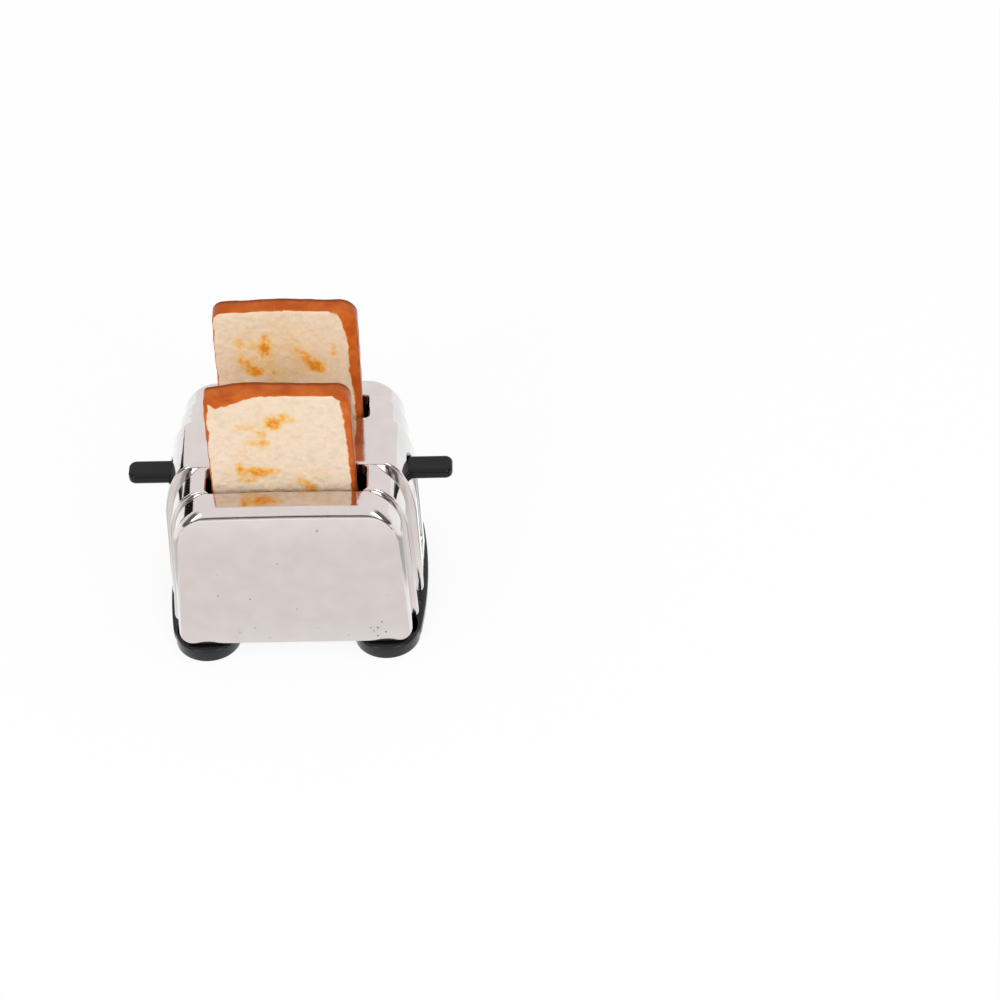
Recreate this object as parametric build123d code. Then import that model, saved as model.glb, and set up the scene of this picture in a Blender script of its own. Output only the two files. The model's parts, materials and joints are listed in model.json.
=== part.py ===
from build123d import *
import os
from dataclasses import astuple, dataclass
from math import cos, radians, sin, sqrt

# Toy toaster for a doll's house, about one twelfth of a kitchen toaster.
# Millimetres. X runs from lever to lever, Y from front to back, Z up.
# The origin is the middle of the footprint, on the surface that the toaster stands on.

# ---------------------------------------------------------------- driving dimensions
FOOT_HEIGHT = 1.2          # underside of the casting above the table
BODY_HEIGHT = 15.2         # casting alone, at its highest layer
BODY_HALF_WIDTH = 10.15    # at its widest layer
WALL = 1.3                 # side walls of the casting
FACE_WALL = 1.2            # front and back walls
ROOF_WALL = 1.0            # roof over the bread chamber
BOTTOM_CORNER = 1.2        # lower corners of the casting, seen from the front
STEP_BEVEL = 0.2           # small bevel along each stepped layer's edge
FACE_RUN = 0.65            # how far back the rounding of the front face reaches
FACE_CORNER_SHARE = 0.8    # lower corners of the flat face, as a share of BOTTOM_CORNER

# The stepped layers, from the centre outwards, and the flat face that ends them.
CENTRE_HALF_DEPTH = 2.65
CENTRE_TAPER = 0.2         # narrower at the shoulders than at the bottom
CENTRE_SHOULDER_RUN = 2.45
CENTRE_SHOULDER_RISE = 6.1
BREAD_SLOT_WIDTH = 2.75
SLOT_INSET = 0.35          # its ends behind those of the centre layer
SLOT_TAPER = 0.45
SLOT_DROP = 0.12           # its roof below that of the centre layer
SLOT_SHOULDER_RUN = 2.8
SLOT_SHOULDER_RISE = 4.9
FACE_DEPTH = 2.3           # from the bread slot to the flat face
FACE_INSET = 0.8
FACE_TAPER = 0.35
FACE_DROP = 0.25
FACE_SHOULDER_RUN = 3.0
FACE_SHOULDER_RISE = 4.2
FLAT_INSET = 1.05
FLAT_TAPER = 0.65
FLAT_DROP = 1.1
FLAT_SHOULDER_RUN = 1.8
FLAT_SHOULDER_RISE = 2.6

SLOT_HALF_DEPTH = CENTRE_HALF_DEPTH + BREAD_SLOT_WIDTH
BODY_HALF_DEPTH = SLOT_HALF_DEPTH + FACE_DEPTH


@dataclass(frozen=True)
class Layer:
    """One slab of the stepped body; its outline is an arch seen from the front."""

    bottom_half_width: float
    shoulder_half_width: float
    height: float
    shoulder_run: float
    shoulder_rise: float
    half_depth: float


def stepped_in(inset: float, taper: float, drop: float, run: float, rise: float, half_depth: float) -> Layer:
    """A layer whose ends, shoulders and roof stand in from the casting's overall size."""
    low = BODY_HALF_WIDTH - inset
    return Layer(low, low - taper, BODY_HEIGHT - drop, run, rise, half_depth)


CENTRE_LAYER = stepped_in(0, CENTRE_TAPER, 0, CENTRE_SHOULDER_RUN, CENTRE_SHOULDER_RISE, CENTRE_HALF_DEPTH)
SLOT_LAYER = stepped_in(
    SLOT_INSET, SLOT_TAPER, SLOT_DROP, SLOT_SHOULDER_RUN, SLOT_SHOULDER_RISE, SLOT_HALF_DEPTH)
FACE_LAYER = stepped_in(
    FACE_INSET, FACE_TAPER, FACE_DROP, FACE_SHOULDER_RUN, FACE_SHOULDER_RISE, BODY_HALF_DEPTH)
FLAT_FACE = stepped_in(
    FLAT_INSET, FLAT_TAPER, FLAT_DROP, FLAT_SHOULDER_RUN, FLAT_SHOULDER_RISE, BODY_HALF_DEPTH)

# Bread slots: they fill the slot layer from its front step to its back step.
SLOT_LENGTH = 12.5
SLOT_CORNER = 0.35

# Slots in the end walls for the lever bar.
LEVER_SLOT_PLAY = 0.2      # each side of the bar
LEVER_SLOT_HEADROOM = 0.8  # above the raised bar
LEVER_SLOT_FOOTROOM = 0.25 # between the lowered bar and the slot's round lower end

# Lever bar and its travel.
LEVER_REACH = 2.7          # of each lever beyond the casting
BAR_LENGTH = 2 * (BODY_HALF_WIDTH + LEVER_REACH)
BAR_WIDTH = 1.9
BAR_THICKNESS = 0.95
BAR_CORNER = 0.62
BAR_EDGE = 0.2             # bevel around its upper and lower faces
BAR_DROP = 2.7             # top of the bar below the casting's highest roof, at rest
BAR_HUB_RADIUS = 1.45
BAR_LOW = 4.65             # underside of the lowered bar above the table

# Bread cradle: one thin steel pressing, a web on the bar and a trough under each slot.
SHEET = 0.3
CRADLE_END_PLAY = 1.05     # from each end of a bread slot
CRADLE_LENGTH = SLOT_LENGTH - 2 * CRADLE_END_PLAY
CRADLE_WEB_LENGTH = 5.2
FRONT_TROUGH_OFFSET = 1.35  # middle of a trough from its bread slot's inner edge
BACK_TROUGH_OFFSET = 1.1   # less, so that the leaning slice clears the slot's far edge when it is down
TROUGH_GAP = 2.0           # clear width between a trough's two lips
TROUGH_DROP = 0.5          # trough floor below the web
LIP_HEIGHT = 0.85
RIVET_SPACING = 3.9
RIVET_RADIUS = 0.3
RIVET_HEAD_RADIUS = 0.5
RIVET_HEAD_HEIGHT = 0.22

# Guide post, driven into the base plate, and the spring around it.
POST_RADIUS = 0.45
POST_PLAY = 0.1
POST_HEAD_RADIUS = 0.85
POST_HEAD_HEIGHT = 0.4
POST_HEAD_GAP = 0.05
SPRING_WIRE = 0.24
SPRING_RADIUS = 0.8        # to the middle of the wire
SPRING_TURNS = 6
SPRING_SIDE_COUNT = 6      # the thin wire's section is drawn six-sided

# Base plate.
PLATE_THICKNESS = 0.9
PLATE_PLAY = 0.08
PLATE_BOSS_RADIUS = 1.3
PLATE_BOSS_HEIGHT = 0.5
PLATE_PANEL_DEPTH = 0.3
PLATE_PANEL_INSET = 1.0

# End feet: a curved skirt along each end and a round pad under each corner.
PAD_RADIUS = 2.65
PAD_INSET_X = 2.95         # middle of a pad inside the casting's greatest width
PAD_INSET_Y = 2.05         # and inside its depth
PAD_X = BODY_HALF_WIDTH - PAD_INSET_X
PAD_Y = BODY_HALF_DEPTH - PAD_INSET_Y
SKIRT_LEDGE = 0.27         # the skirt beyond the casting, at the middle of the end
SKIRT_REACH = BODY_HALF_WIDTH + SKIRT_LEDGE
SKIRT_SAGITTA = 0.62       # how much the skirt curves in towards the pads
SKIRT_WIDTH = 2.3
SKIRT_LIFT = 0.4           # underside of the skirt above the table
FOOT_BEVEL = 0.2

# Screws that hold the feet and the base plate to posts inside the casting.
SCREW_RADIUS = 0.4
SCREW_PLAY = 0.08
SCREW_HEAD_RADIUS = 0.8
SCREW_HEAD_HEIGHT = 0.4
SCREW_SINK = 0.15          # screw head above the table
SCREW_BITE = 3.2           # length of screw in the post
SCREW_POST_RADIUS = 1.05
SCREW_POST_HEIGHT = 7.0

# Slices of toast.
TOAST_END_PLAY = 0.55      # from each end of a bread slot
TOAST_WIDTH = SLOT_LENGTH - 2 * TOAST_END_PLAY
TOAST_CORNER = 0.9
TOAST_EDGE = 0.22
FRONT_TOAST_HEIGHT = 12.4
FRONT_TOAST_THICKNESS = 1.8
FRONT_TOAST_SHIFT = -0.16
FRONT_TOAST_SLOPE = 0.6    # left top corner lower than the right one
BACK_TOAST_HEIGHT = 13.3
BACK_TOAST_THICKNESS = 1.7
BACK_TOAST_SHIFT = 0.15
BACK_TOAST_SLOPE = 0.1
BACK_TOAST_LEAN = 3.5      # degrees, top towards the back
SEAT_GAP = 0.02            # between pieces that only rest on each other

# ---------------------------------------------------------------- derived places
BODY_BOTTOM = FOOT_HEIGHT
SLOT_INNER = CENTRE_LAYER.half_depth
SLOT_OUTER = SLOT_LAYER.half_depth
SLOT_WIDTH = SLOT_OUTER - SLOT_INNER
FRONT_TROUGH = -(SLOT_INNER + FRONT_TROUGH_OFFSET)
BACK_TROUGH = SLOT_INNER + BACK_TROUGH_OFFSET
SLOT_MIDDLE = (SLOT_OUTER + SLOT_INNER) / 2
BAR_TOP = BODY_BOTTOM + BODY_HEIGHT - BAR_DROP
BAR_BOTTOM = BAR_TOP - BAR_THICKNESS
TRAVEL = BAR_BOTTOM - BAR_LOW    # downward stroke of the levers
PLATE_TOP = BODY_BOTTOM + PLATE_THICKNESS
BOSS_TOP = PLATE_TOP + PLATE_BOSS_HEIGHT
POST_FOOT = BODY_BOTTOM + 2 * PLATE_PANEL_DEPTH
WEB_TOP = BAR_TOP + SHEET
TROUGH_TOP = WEB_TOP - TROUGH_DROP
OVER = 1.0                 # how far a cutting tool runs past the face it cuts
QUARTER = 90               # degrees in a quarter turn
FACE_SECTION_ANGLES = (0, QUARTER / 3, 2 * QUARTER / 3, QUARTER)


# ---------------------------------------------------------------- shared outlines
def arch(layer: Layer, corner: float) -> Sketch:
    """Outline of a layer in X and Z, with elliptical shoulders and rounded lower corners."""
    low, high = layer.bottom_half_width, layer.shoulder_half_width
    run, rise, top = layer.shoulder_run, layer.shoulder_rise, layer.height
    with BuildSketch(Plane.XZ) as outline:
        with BuildLine():
            if corner > 0:
                Line((corner - low, 0), (low - corner, 0))
                RadiusArc((low - corner, 0), (low, corner), -corner)
                RadiusArc((-low, corner), (corner - low, 0), -corner)
            else:
                Line((-low, 0), (low, 0))
            Line((low, corner), (high, top - rise))
            EllipticalCenterArc((high - run, top - rise), run, rise, start_angle=0, arc_size=QUARTER)
            Line((high - run, top), (run - high, top))
            EllipticalCenterArc((run - high, top - rise), run, rise, start_angle=QUARTER, arc_size=QUARTER)
            Line((-high, top - rise), (-low, corner))
        make_face()
    return outline.sketch.moved(Location((0, 0, BODY_BOTTOM)))


def between(inner: Layer, outer: Layer, share: float) -> Layer:
    """A layer part of the way from one outline to another."""
    pairs = zip(astuple(inner), astuple(outer))
    return Layer(*[near + share * (far - near) for near, far in pairs])


def slab(outline: Sketch, half_depth: float) -> Part:
    """Extrude an outline the same distance to the front and to the back."""
    return extrude(outline, amount=half_depth, both=True)


# ---------------------------------------------------------------- casting
def stepped_slab(layer: Layer) -> Part:
    """One layer with the small bevel along both of its outer edges."""
    block = slab(arch(layer, BOTTOM_CORNER), layer.half_depth)
    rims = block.edges().filter_by_position(Axis.Y, -layer.half_depth, -layer.half_depth)
    rims += block.edges().filter_by_position(Axis.Y, layer.half_depth, layer.half_depth)
    return chamfer(rims, STEP_BEVEL)


def face_cap() -> Part:
    """Front end of the face layer: a flat face whose rounding widens towards the shoulders."""
    sections = []
    for angle in FACE_SECTION_ANGLES:
        depth = FACE_LAYER.half_depth - FACE_RUN * (1 - cos(radians(angle)))
        share = sin(radians(angle))
        corner = BOTTOM_CORNER * (FACE_CORNER_SHARE + (1 - FACE_CORNER_SHARE) * share)
        sections.append(arch(between(FLAT_FACE, FACE_LAYER, share), corner).moved(Location((0, -depth, 0))))
    return loft(sections)


def casting_outside() -> Part:
    """The three nested layers and the rounded front and back ends."""
    core_depth = FACE_LAYER.half_depth - FACE_RUN
    body = slab(arch(FACE_LAYER, BOTTOM_CORNER), core_depth)
    cap = face_cap()
    body += cap
    body += mirror(cap, about=Plane.XZ)
    body += stepped_slab(SLOT_LAYER)
    body += stepped_slab(CENTRE_LAYER)
    return body


def hollow(layer: Layer, half_depth: float, play: float, bottom: float, top: float) -> Part:
    """Space inside one layer's walls and roof, less a play, between two heights."""
    inside = Layer(
        layer.bottom_half_width - WALL - play,
        layer.shoulder_half_width - WALL - play,
        layer.height - ROOF_WALL,
        layer.shoulder_run,
        layer.shoulder_rise,
        half_depth - play,
    )
    window = Box(2 * BAR_LENGTH, 4 * layer.half_depth, top - bottom)
    return slab(arch(inside, 0), inside.half_depth) & Pos(0, 0, (bottom + top) / 2) * window


def chamber(play: float, bottom: float, top: float) -> Part:
    """The hollow of the casting, nested like its outside. With a play it is what fits in it."""
    space = hollow(FACE_LAYER, FACE_LAYER.half_depth - FACE_WALL, play, bottom, top)
    space += hollow(SLOT_LAYER, SLOT_LAYER.half_depth - WALL, play, bottom, top)
    space += hollow(CENTRE_LAYER, CENTRE_LAYER.half_depth - WALL, play, bottom, top)
    return space


def bread_slot(side: int) -> Part:
    """Cutter for one bread slot through the roof. side is -1 at the front and 1 at the back."""
    height = ROOF_WALL + 2 * OVER
    with BuildSketch() as mouth:
        RectangleRounded(SLOT_LENGTH, SLOT_WIDTH, SLOT_CORNER)
    tool = extrude(mouth.sketch, height)
    return Pos(0, side * SLOT_MIDDLE, BODY_BOTTOM + BODY_HEIGHT + OVER - height) * tool


def lever_slots() -> Part:
    """Cutter for the upright slots, round at both ends, through both end walls."""
    width = BAR_WIDTH + 2 * LEVER_SLOT_PLAY
    sag = width / 2 - sqrt((width / 2) ** 2 - (BAR_WIDTH / 2) ** 2)
    low = BAR_BOTTOM - TRAVEL - sag - LEVER_SLOT_FOOTROOM
    high = BAR_TOP + LEVER_SLOT_HEADROOM
    inner = FACE_LAYER.shoulder_half_width - WALL - OVER
    outer = CENTRE_LAYER.bottom_half_width + OVER
    with BuildSketch(Plane.YZ.offset(inner)) as outline:
        with Locations((0, (low + high) / 2)):
            SlotOverall(high - low, width, rotation=90)
    tool = extrude(outline.sketch, outer - inner)
    return tool + mirror(tool, about=Plane.YZ)


def corners() -> list:
    """Places of the four screws, over the middles of the foot pads."""
    return [(sx * PAD_X, sy * PAD_Y) for sx in (-1, 1) for sy in (-1, 1)]


def body_shell() -> Part:
    """Plated casting: stepped outside, even walls, bread slots, lever slots and screw posts."""
    outside = casting_outside()
    shell = outside - chamber(0, BODY_BOTTOM, BODY_BOTTOM + BODY_HEIGHT)
    hole_depth = SCREW_BITE + OVER / 2
    for x, y in corners():
        post = Pos(x, y, PLATE_TOP + SCREW_POST_HEIGHT / 2) * Cylinder(SCREW_POST_RADIUS, SCREW_POST_HEIGHT)
        shell += post & outside
        shell -= Pos(x, y, PLATE_TOP + hole_depth / 2) * Cylinder(SCREW_RADIUS + SCREW_PLAY, hole_depth)
    shell -= bread_slot(-1)
    shell -= bread_slot(1)
    shell -= lever_slots()
    return shell


# ---------------------------------------------------------------- base
def base_plate() -> Part:
    """Black floor inside the casting's rim, with the boss that holds the guide post."""
    plate = chamber(PLATE_PLAY, BODY_BOTTOM, PLATE_TOP)
    plate += Pos(0, 0, PLATE_TOP + PLATE_BOSS_HEIGHT / 2) * Cylinder(PLATE_BOSS_RADIUS, PLATE_BOSS_HEIGHT)
    length = 2 * (PAD_X - PAD_RADIUS - PLATE_PANEL_INSET)
    depth = 2 * (FACE_LAYER.half_depth - FACE_WALL - PLATE_PANEL_INSET)
    panel = Box(length, depth, 2 * PLATE_PANEL_DEPTH)
    panel -= Cylinder(PLATE_BOSS_RADIUS, 2 * PLATE_PANEL_DEPTH)
    plate -= Pos(0, 0, BODY_BOTTOM) * panel
    plate -= Pos(0, 0, BOSS_TOP) * Cylinder(POST_RADIUS, 2 * (BOSS_TOP - POST_FOOT))
    for x, y in corners():
        plate -= Pos(x, y, BODY_BOTTOM) * Cylinder(SCREW_RADIUS + SCREW_PLAY, 4 * PLATE_THICKNESS)
    return plate


def skirt() -> Part:
    """Curved strip along the right end, clear of the table."""
    reach_y = PAD_Y + PAD_RADIUS / 2
    outer_end = SKIRT_REACH - SKIRT_SAGITTA
    inner_end = outer_end - SKIRT_WIDTH
    with BuildSketch(Plane.XY.offset(SKIRT_LIFT)) as outline:
        with BuildLine():
            ThreePointArc((outer_end, -reach_y), (SKIRT_REACH, 0), (outer_end, reach_y))
            Line((outer_end, reach_y), (inner_end, reach_y))
            ThreePointArc((inner_end, reach_y), (SKIRT_REACH - SKIRT_WIDTH, 0), (inner_end, -reach_y))
            Line((inner_end, -reach_y), (outer_end, -reach_y))
        make_face()
        fillet(outline.vertices().sort_by(Axis.X)[-2:], PAD_RADIUS / 2)
    strip = extrude(outline.sketch, FOOT_HEIGHT - SKIRT_LIFT)
    rim = strip.edges().filter_by_position(Axis.Z, FOOT_HEIGHT, FOOT_HEIGHT).filter_by_position(
        Axis.X, PAD_X, SKIRT_REACH).filter_by(GeomType.CIRCLE)
    return chamfer(rim.sort_by(Axis.X)[-1], FOOT_BEVEL)


def end_foot(side: int) -> Part:
    """Black foot of one end: skirt, two round pads and their screw holes. side is -1 or 1."""
    foot = skirt()
    for sy in (-1, 1):
        pad = Pos(PAD_X, sy * PAD_Y, FOOT_HEIGHT / 2) * Cylinder(PAD_RADIUS, FOOT_HEIGHT)
        foot += chamfer(pad.edges().filter_by(GeomType.CIRCLE).sort_by(Axis.Z)[-1], FOOT_BEVEL)
    for sy in (-1, 1):
        foot -= Pos(PAD_X, sy * PAD_Y, 0) * Cylinder(SCREW_RADIUS + SCREW_PLAY, 4 * FOOT_HEIGHT)
        well = 2 * (SCREW_SINK + SCREW_HEAD_HEIGHT)
        foot -= Pos(PAD_X, sy * PAD_Y, 0) * Cylinder(SCREW_HEAD_RADIUS + SCREW_PLAY, well)
    return foot if side > 0 else mirror(foot, about=Plane.YZ)


def foot_screws() -> Part:
    """Four small screws, head down in the foot pads."""
    under_head = SCREW_SINK + SCREW_HEAD_HEIGHT
    length = PLATE_TOP + SCREW_BITE - under_head
    head = Pos(0, 0, SCREW_SINK + SCREW_HEAD_HEIGHT / 2) * Cylinder(SCREW_HEAD_RADIUS, SCREW_HEAD_HEIGHT)
    shank = Pos(0, 0, under_head + length / 2) * Cylinder(SCREW_RADIUS, length)
    screw = head + chamfer(shank.edges().sort_by(Axis.Z)[-1], SCREW_RADIUS / 2)
    return Compound([Pos(x, y, 0) * screw for x, y in corners()])


# ---------------------------------------------------------------- lift mechanism
def guide_post() -> Part:
    """Steel pin, driven into the boss, whose head stops the rising carriage."""
    neck = WEB_TOP + POST_HEAD_GAP
    pin = Pos(0, 0, (POST_FOOT + neck) / 2) * Cylinder(POST_RADIUS, neck - POST_FOOT)
    head = Pos(0, 0, neck + POST_HEAD_HEIGHT / 2) * Cylinder(POST_HEAD_RADIUS, POST_HEAD_HEIGHT)
    head = chamfer(head.edges().sort_by(Axis.Z)[-1], POST_HEAD_HEIGHT / 2)
    return pin + head


def lift_spring() -> Part:
    """Open coil spring between the base plate's boss and the lever bar."""
    low = BOSS_TOP + SPRING_WIRE / 2 + SEAT_GAP
    high = BAR_BOTTOM - SPRING_WIRE / 2 - SEAT_GAP
    path = Helix(pitch=(high - low) / SPRING_TURNS, height=high - low, radius=SPRING_RADIUS)
    section = Plane(origin=path @ 0, z_dir=path % 0) * RegularPolygon(SPRING_WIRE / 2, SPRING_SIDE_COUNT)
    return Pos(0, 0, low) * sweep(section, path=path, is_frenet=True)


def lever_bar() -> Part:
    """Flat black bar; its two ends stand out of the body as the levers."""
    with BuildSketch(Plane.XY.offset(BAR_BOTTOM)) as outline:
        RectangleRounded(BAR_LENGTH, BAR_WIDTH, BAR_CORNER)
    bar = extrude(outline.sketch, BAR_THICKNESS)
    bar = chamfer(bar.edges().filter_by(Plane.XY), BAR_EDGE)
    bar += Pos(0, 0, BAR_BOTTOM + BAR_THICKNESS / 2) * Cylinder(BAR_HUB_RADIUS, BAR_THICKNESS)
    bar -= Pos(0, 0, BAR_BOTTOM) * Cylinder(POST_RADIUS + POST_PLAY, 4 * BAR_THICKNESS)
    for sx in (-1, 1):
        bar -= Pos(sx * RIVET_SPACING / 2, 0, BAR_BOTTOM) * Cylinder(RIVET_RADIUS, 4 * BAR_THICKNESS)
    return bar


def trough(middle: float) -> Part:
    """Folded channel under one bread slot, with its middle at a place from front to back."""
    outside = TROUGH_GAP + 2 * SHEET
    floor = TROUGH_TOP - SHEET
    channel = Box(CRADLE_LENGTH, outside, SHEET + LIP_HEIGHT)
    channel -= Pos(0, 0, SHEET) * Box(CRADLE_LENGTH + OVER, TROUGH_GAP, SHEET + LIP_HEIGHT)
    return Pos(0, middle, floor + (SHEET + LIP_HEIGHT) / 2) * channel


def bread_cradle() -> Part:
    """Steel pressing that carries both slices: a web on the bar and two troughs."""
    depth = BACK_TROUGH - FRONT_TROUGH - TROUGH_GAP
    middle = (BACK_TROUGH + FRONT_TROUGH) / 2
    web = Pos(0, middle, BAR_TOP + SHEET / 2) * Box(CRADLE_WEB_LENGTH, depth, SHEET)
    cradle = web + trough(FRONT_TROUGH) + trough(BACK_TROUGH)
    cradle -= Pos(0, 0, BAR_TOP) * Cylinder(POST_RADIUS + POST_PLAY, 4 * SHEET)
    for sx in (-1, 1):
        cradle -= Pos(sx * RIVET_SPACING / 2, 0, BAR_TOP) * Cylinder(RIVET_RADIUS, 4 * SHEET)
    return cradle


def cradle_rivets() -> Part:
    """Two rivets that join the cradle to the lever bar."""
    shank = Pos(0, 0, (BAR_BOTTOM + WEB_TOP) / 2) * Cylinder(RIVET_RADIUS, WEB_TOP - BAR_BOTTOM)
    head = Cylinder(RIVET_HEAD_RADIUS, RIVET_HEAD_HEIGHT)
    head = chamfer(head.edges().sort_by(Axis.Z)[-1], RIVET_HEAD_HEIGHT / 2)
    upper = Pos(0, 0, WEB_TOP + RIVET_HEAD_HEIGHT / 2) * head
    lower = Pos(0, 0, BAR_BOTTOM - RIVET_HEAD_HEIGHT / 2) * Rot(180, 0, 0) * head
    rivet = shank + upper + lower
    return Compound([Pos(sx * RIVET_SPACING / 2, 0, 0) * rivet for sx in (-1, 1)])


# ---------------------------------------------------------------- toast
def slice_of_toast(height: float, thickness: float, slope: float) -> Part:
    """Upright slice, a little uneven along its top, standing on Z = 0 about the YZ plane."""
    half = TOAST_WIDTH / 2
    with BuildSketch(Plane.XZ) as outline:
        with BuildLine():
            Polyline((-half, 0), (half, 0), (half, height), (-half, height - slope), close=True)
        make_face()
        fillet(outline.vertices().sort_by(Axis.Y)[-2:], TOAST_CORNER)
    bread = extrude(outline.sketch, amount=thickness / 2, both=True)
    return chamfer(bread.edges().filter_by(Plane.XZ), TOAST_EDGE)


def toast_front() -> Part:
    """Front slice, upright in its trough."""
    bread = slice_of_toast(FRONT_TOAST_HEIGHT, FRONT_TOAST_THICKNESS, FRONT_TOAST_SLOPE)
    return Pos(FRONT_TOAST_SHIFT, FRONT_TROUGH, TROUGH_TOP + SEAT_GAP) * bread


def toast_back() -> Part:
    """Back slice: its cut foot stands flat in the trough, and its top leans back."""
    seat = TROUGH_TOP + SEAT_GAP
    trim = BACK_TOAST_THICKNESS / 2 * sin(radians(BACK_TOAST_LEAN)) + TOAST_EDGE
    bread = slice_of_toast(BACK_TOAST_HEIGHT + trim, BACK_TOAST_THICKNESS, BACK_TOAST_SLOPE)
    bread = Pos(BACK_TOAST_SHIFT, BACK_TROUGH, seat - trim) * Rot(-BACK_TOAST_LEAN, 0, 0) * bread
    below = Box(2 * TOAST_WIDTH, 2 * BACK_TROUGH, 2 * seat)
    return bread - Pos(0, BACK_TROUGH, 0) * below


# ---------------------------------------------------------------- output
def main() -> None:
    """Write one STEP file for each piece."""
    os.makedirs("parts", exist_ok=True)
    pieces = {
        "body_shell": body_shell(),
        "base_plate": base_plate(),
        "end_foot_left": end_foot(-1),
        "end_foot_right": end_foot(1),
        "foot_screws": foot_screws(),
        "guide_post": guide_post(),
        "lift_spring": lift_spring(),
        "lever_bar": lever_bar(),
        "bread_cradle": bread_cradle(),
        "cradle_rivets": cradle_rivets(),
        "toast_front": toast_front(),
        "toast_back": toast_back(),
    }
    for name, piece in pieces.items():
        export_step(piece, f"parts/{name}.step")


main()
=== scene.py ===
"""Looks of a pop-up toaster for a doll's house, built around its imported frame.

Every shape is a surface worked out with numpy in millimetres, in the row's frame: X from lever to lever, Y from the
front to the back, Z up from the table. Skin.piece turns it into metres, merges its seams and points it outwards.
"""
from __future__ import annotations

import json
import logging
import math
from dataclasses import dataclass, field
from enum import Enum
from itertools import product

import bmesh
import bpy
import numpy as np
from mathutils import Matrix

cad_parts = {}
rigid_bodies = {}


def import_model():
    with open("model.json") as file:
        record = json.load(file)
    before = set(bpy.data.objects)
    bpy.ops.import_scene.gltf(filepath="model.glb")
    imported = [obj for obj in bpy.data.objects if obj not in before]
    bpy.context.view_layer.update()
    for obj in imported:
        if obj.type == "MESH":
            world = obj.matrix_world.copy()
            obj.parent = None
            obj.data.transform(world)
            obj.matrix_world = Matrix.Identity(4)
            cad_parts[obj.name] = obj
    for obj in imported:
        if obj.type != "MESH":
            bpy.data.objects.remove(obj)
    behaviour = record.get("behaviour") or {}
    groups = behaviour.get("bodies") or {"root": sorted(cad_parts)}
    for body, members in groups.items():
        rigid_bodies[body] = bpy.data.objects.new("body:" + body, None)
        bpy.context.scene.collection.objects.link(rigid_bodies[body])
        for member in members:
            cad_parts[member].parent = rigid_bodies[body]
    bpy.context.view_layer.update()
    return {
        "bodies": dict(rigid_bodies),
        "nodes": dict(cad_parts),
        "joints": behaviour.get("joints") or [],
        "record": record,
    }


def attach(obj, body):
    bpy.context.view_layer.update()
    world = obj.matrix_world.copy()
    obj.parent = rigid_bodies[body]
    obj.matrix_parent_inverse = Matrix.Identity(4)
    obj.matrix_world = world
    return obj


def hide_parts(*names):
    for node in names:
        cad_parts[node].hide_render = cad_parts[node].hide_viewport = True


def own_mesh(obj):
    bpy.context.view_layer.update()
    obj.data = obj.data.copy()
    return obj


LOG = logging.getLogger("toy_toaster")
MM = 0.001
MERGE = 2e-7               # metres; grids that meet share their points to within this
CROWN = 0.16               # the roof's fall from its middle to its ends
ROLL = 6                   # steps on a rolled edge
TURN = 8                   # steps on a foot's turn, and on the straight side above it
SHOULDER = 40              # steps on the shoulder of an end or a slot layer
CENTRE_SHOULDER = 24       # steps on the centre layer's shoulder over a lever slot
FACE_ROLL = 18             # steps on the face's rounding
FOOT_STEPS = 17            # steps that close an outline along its foot
DOME = 8                   # steps on a domed head


class Body(Enum):
    """Moving bodies of the frame."""

    HOUSING = "housing"
    CARRIAGE = "carriage"
    FRONT_SLICE = "front_slice"
    BACK_SLICE = "back_slice"


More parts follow.
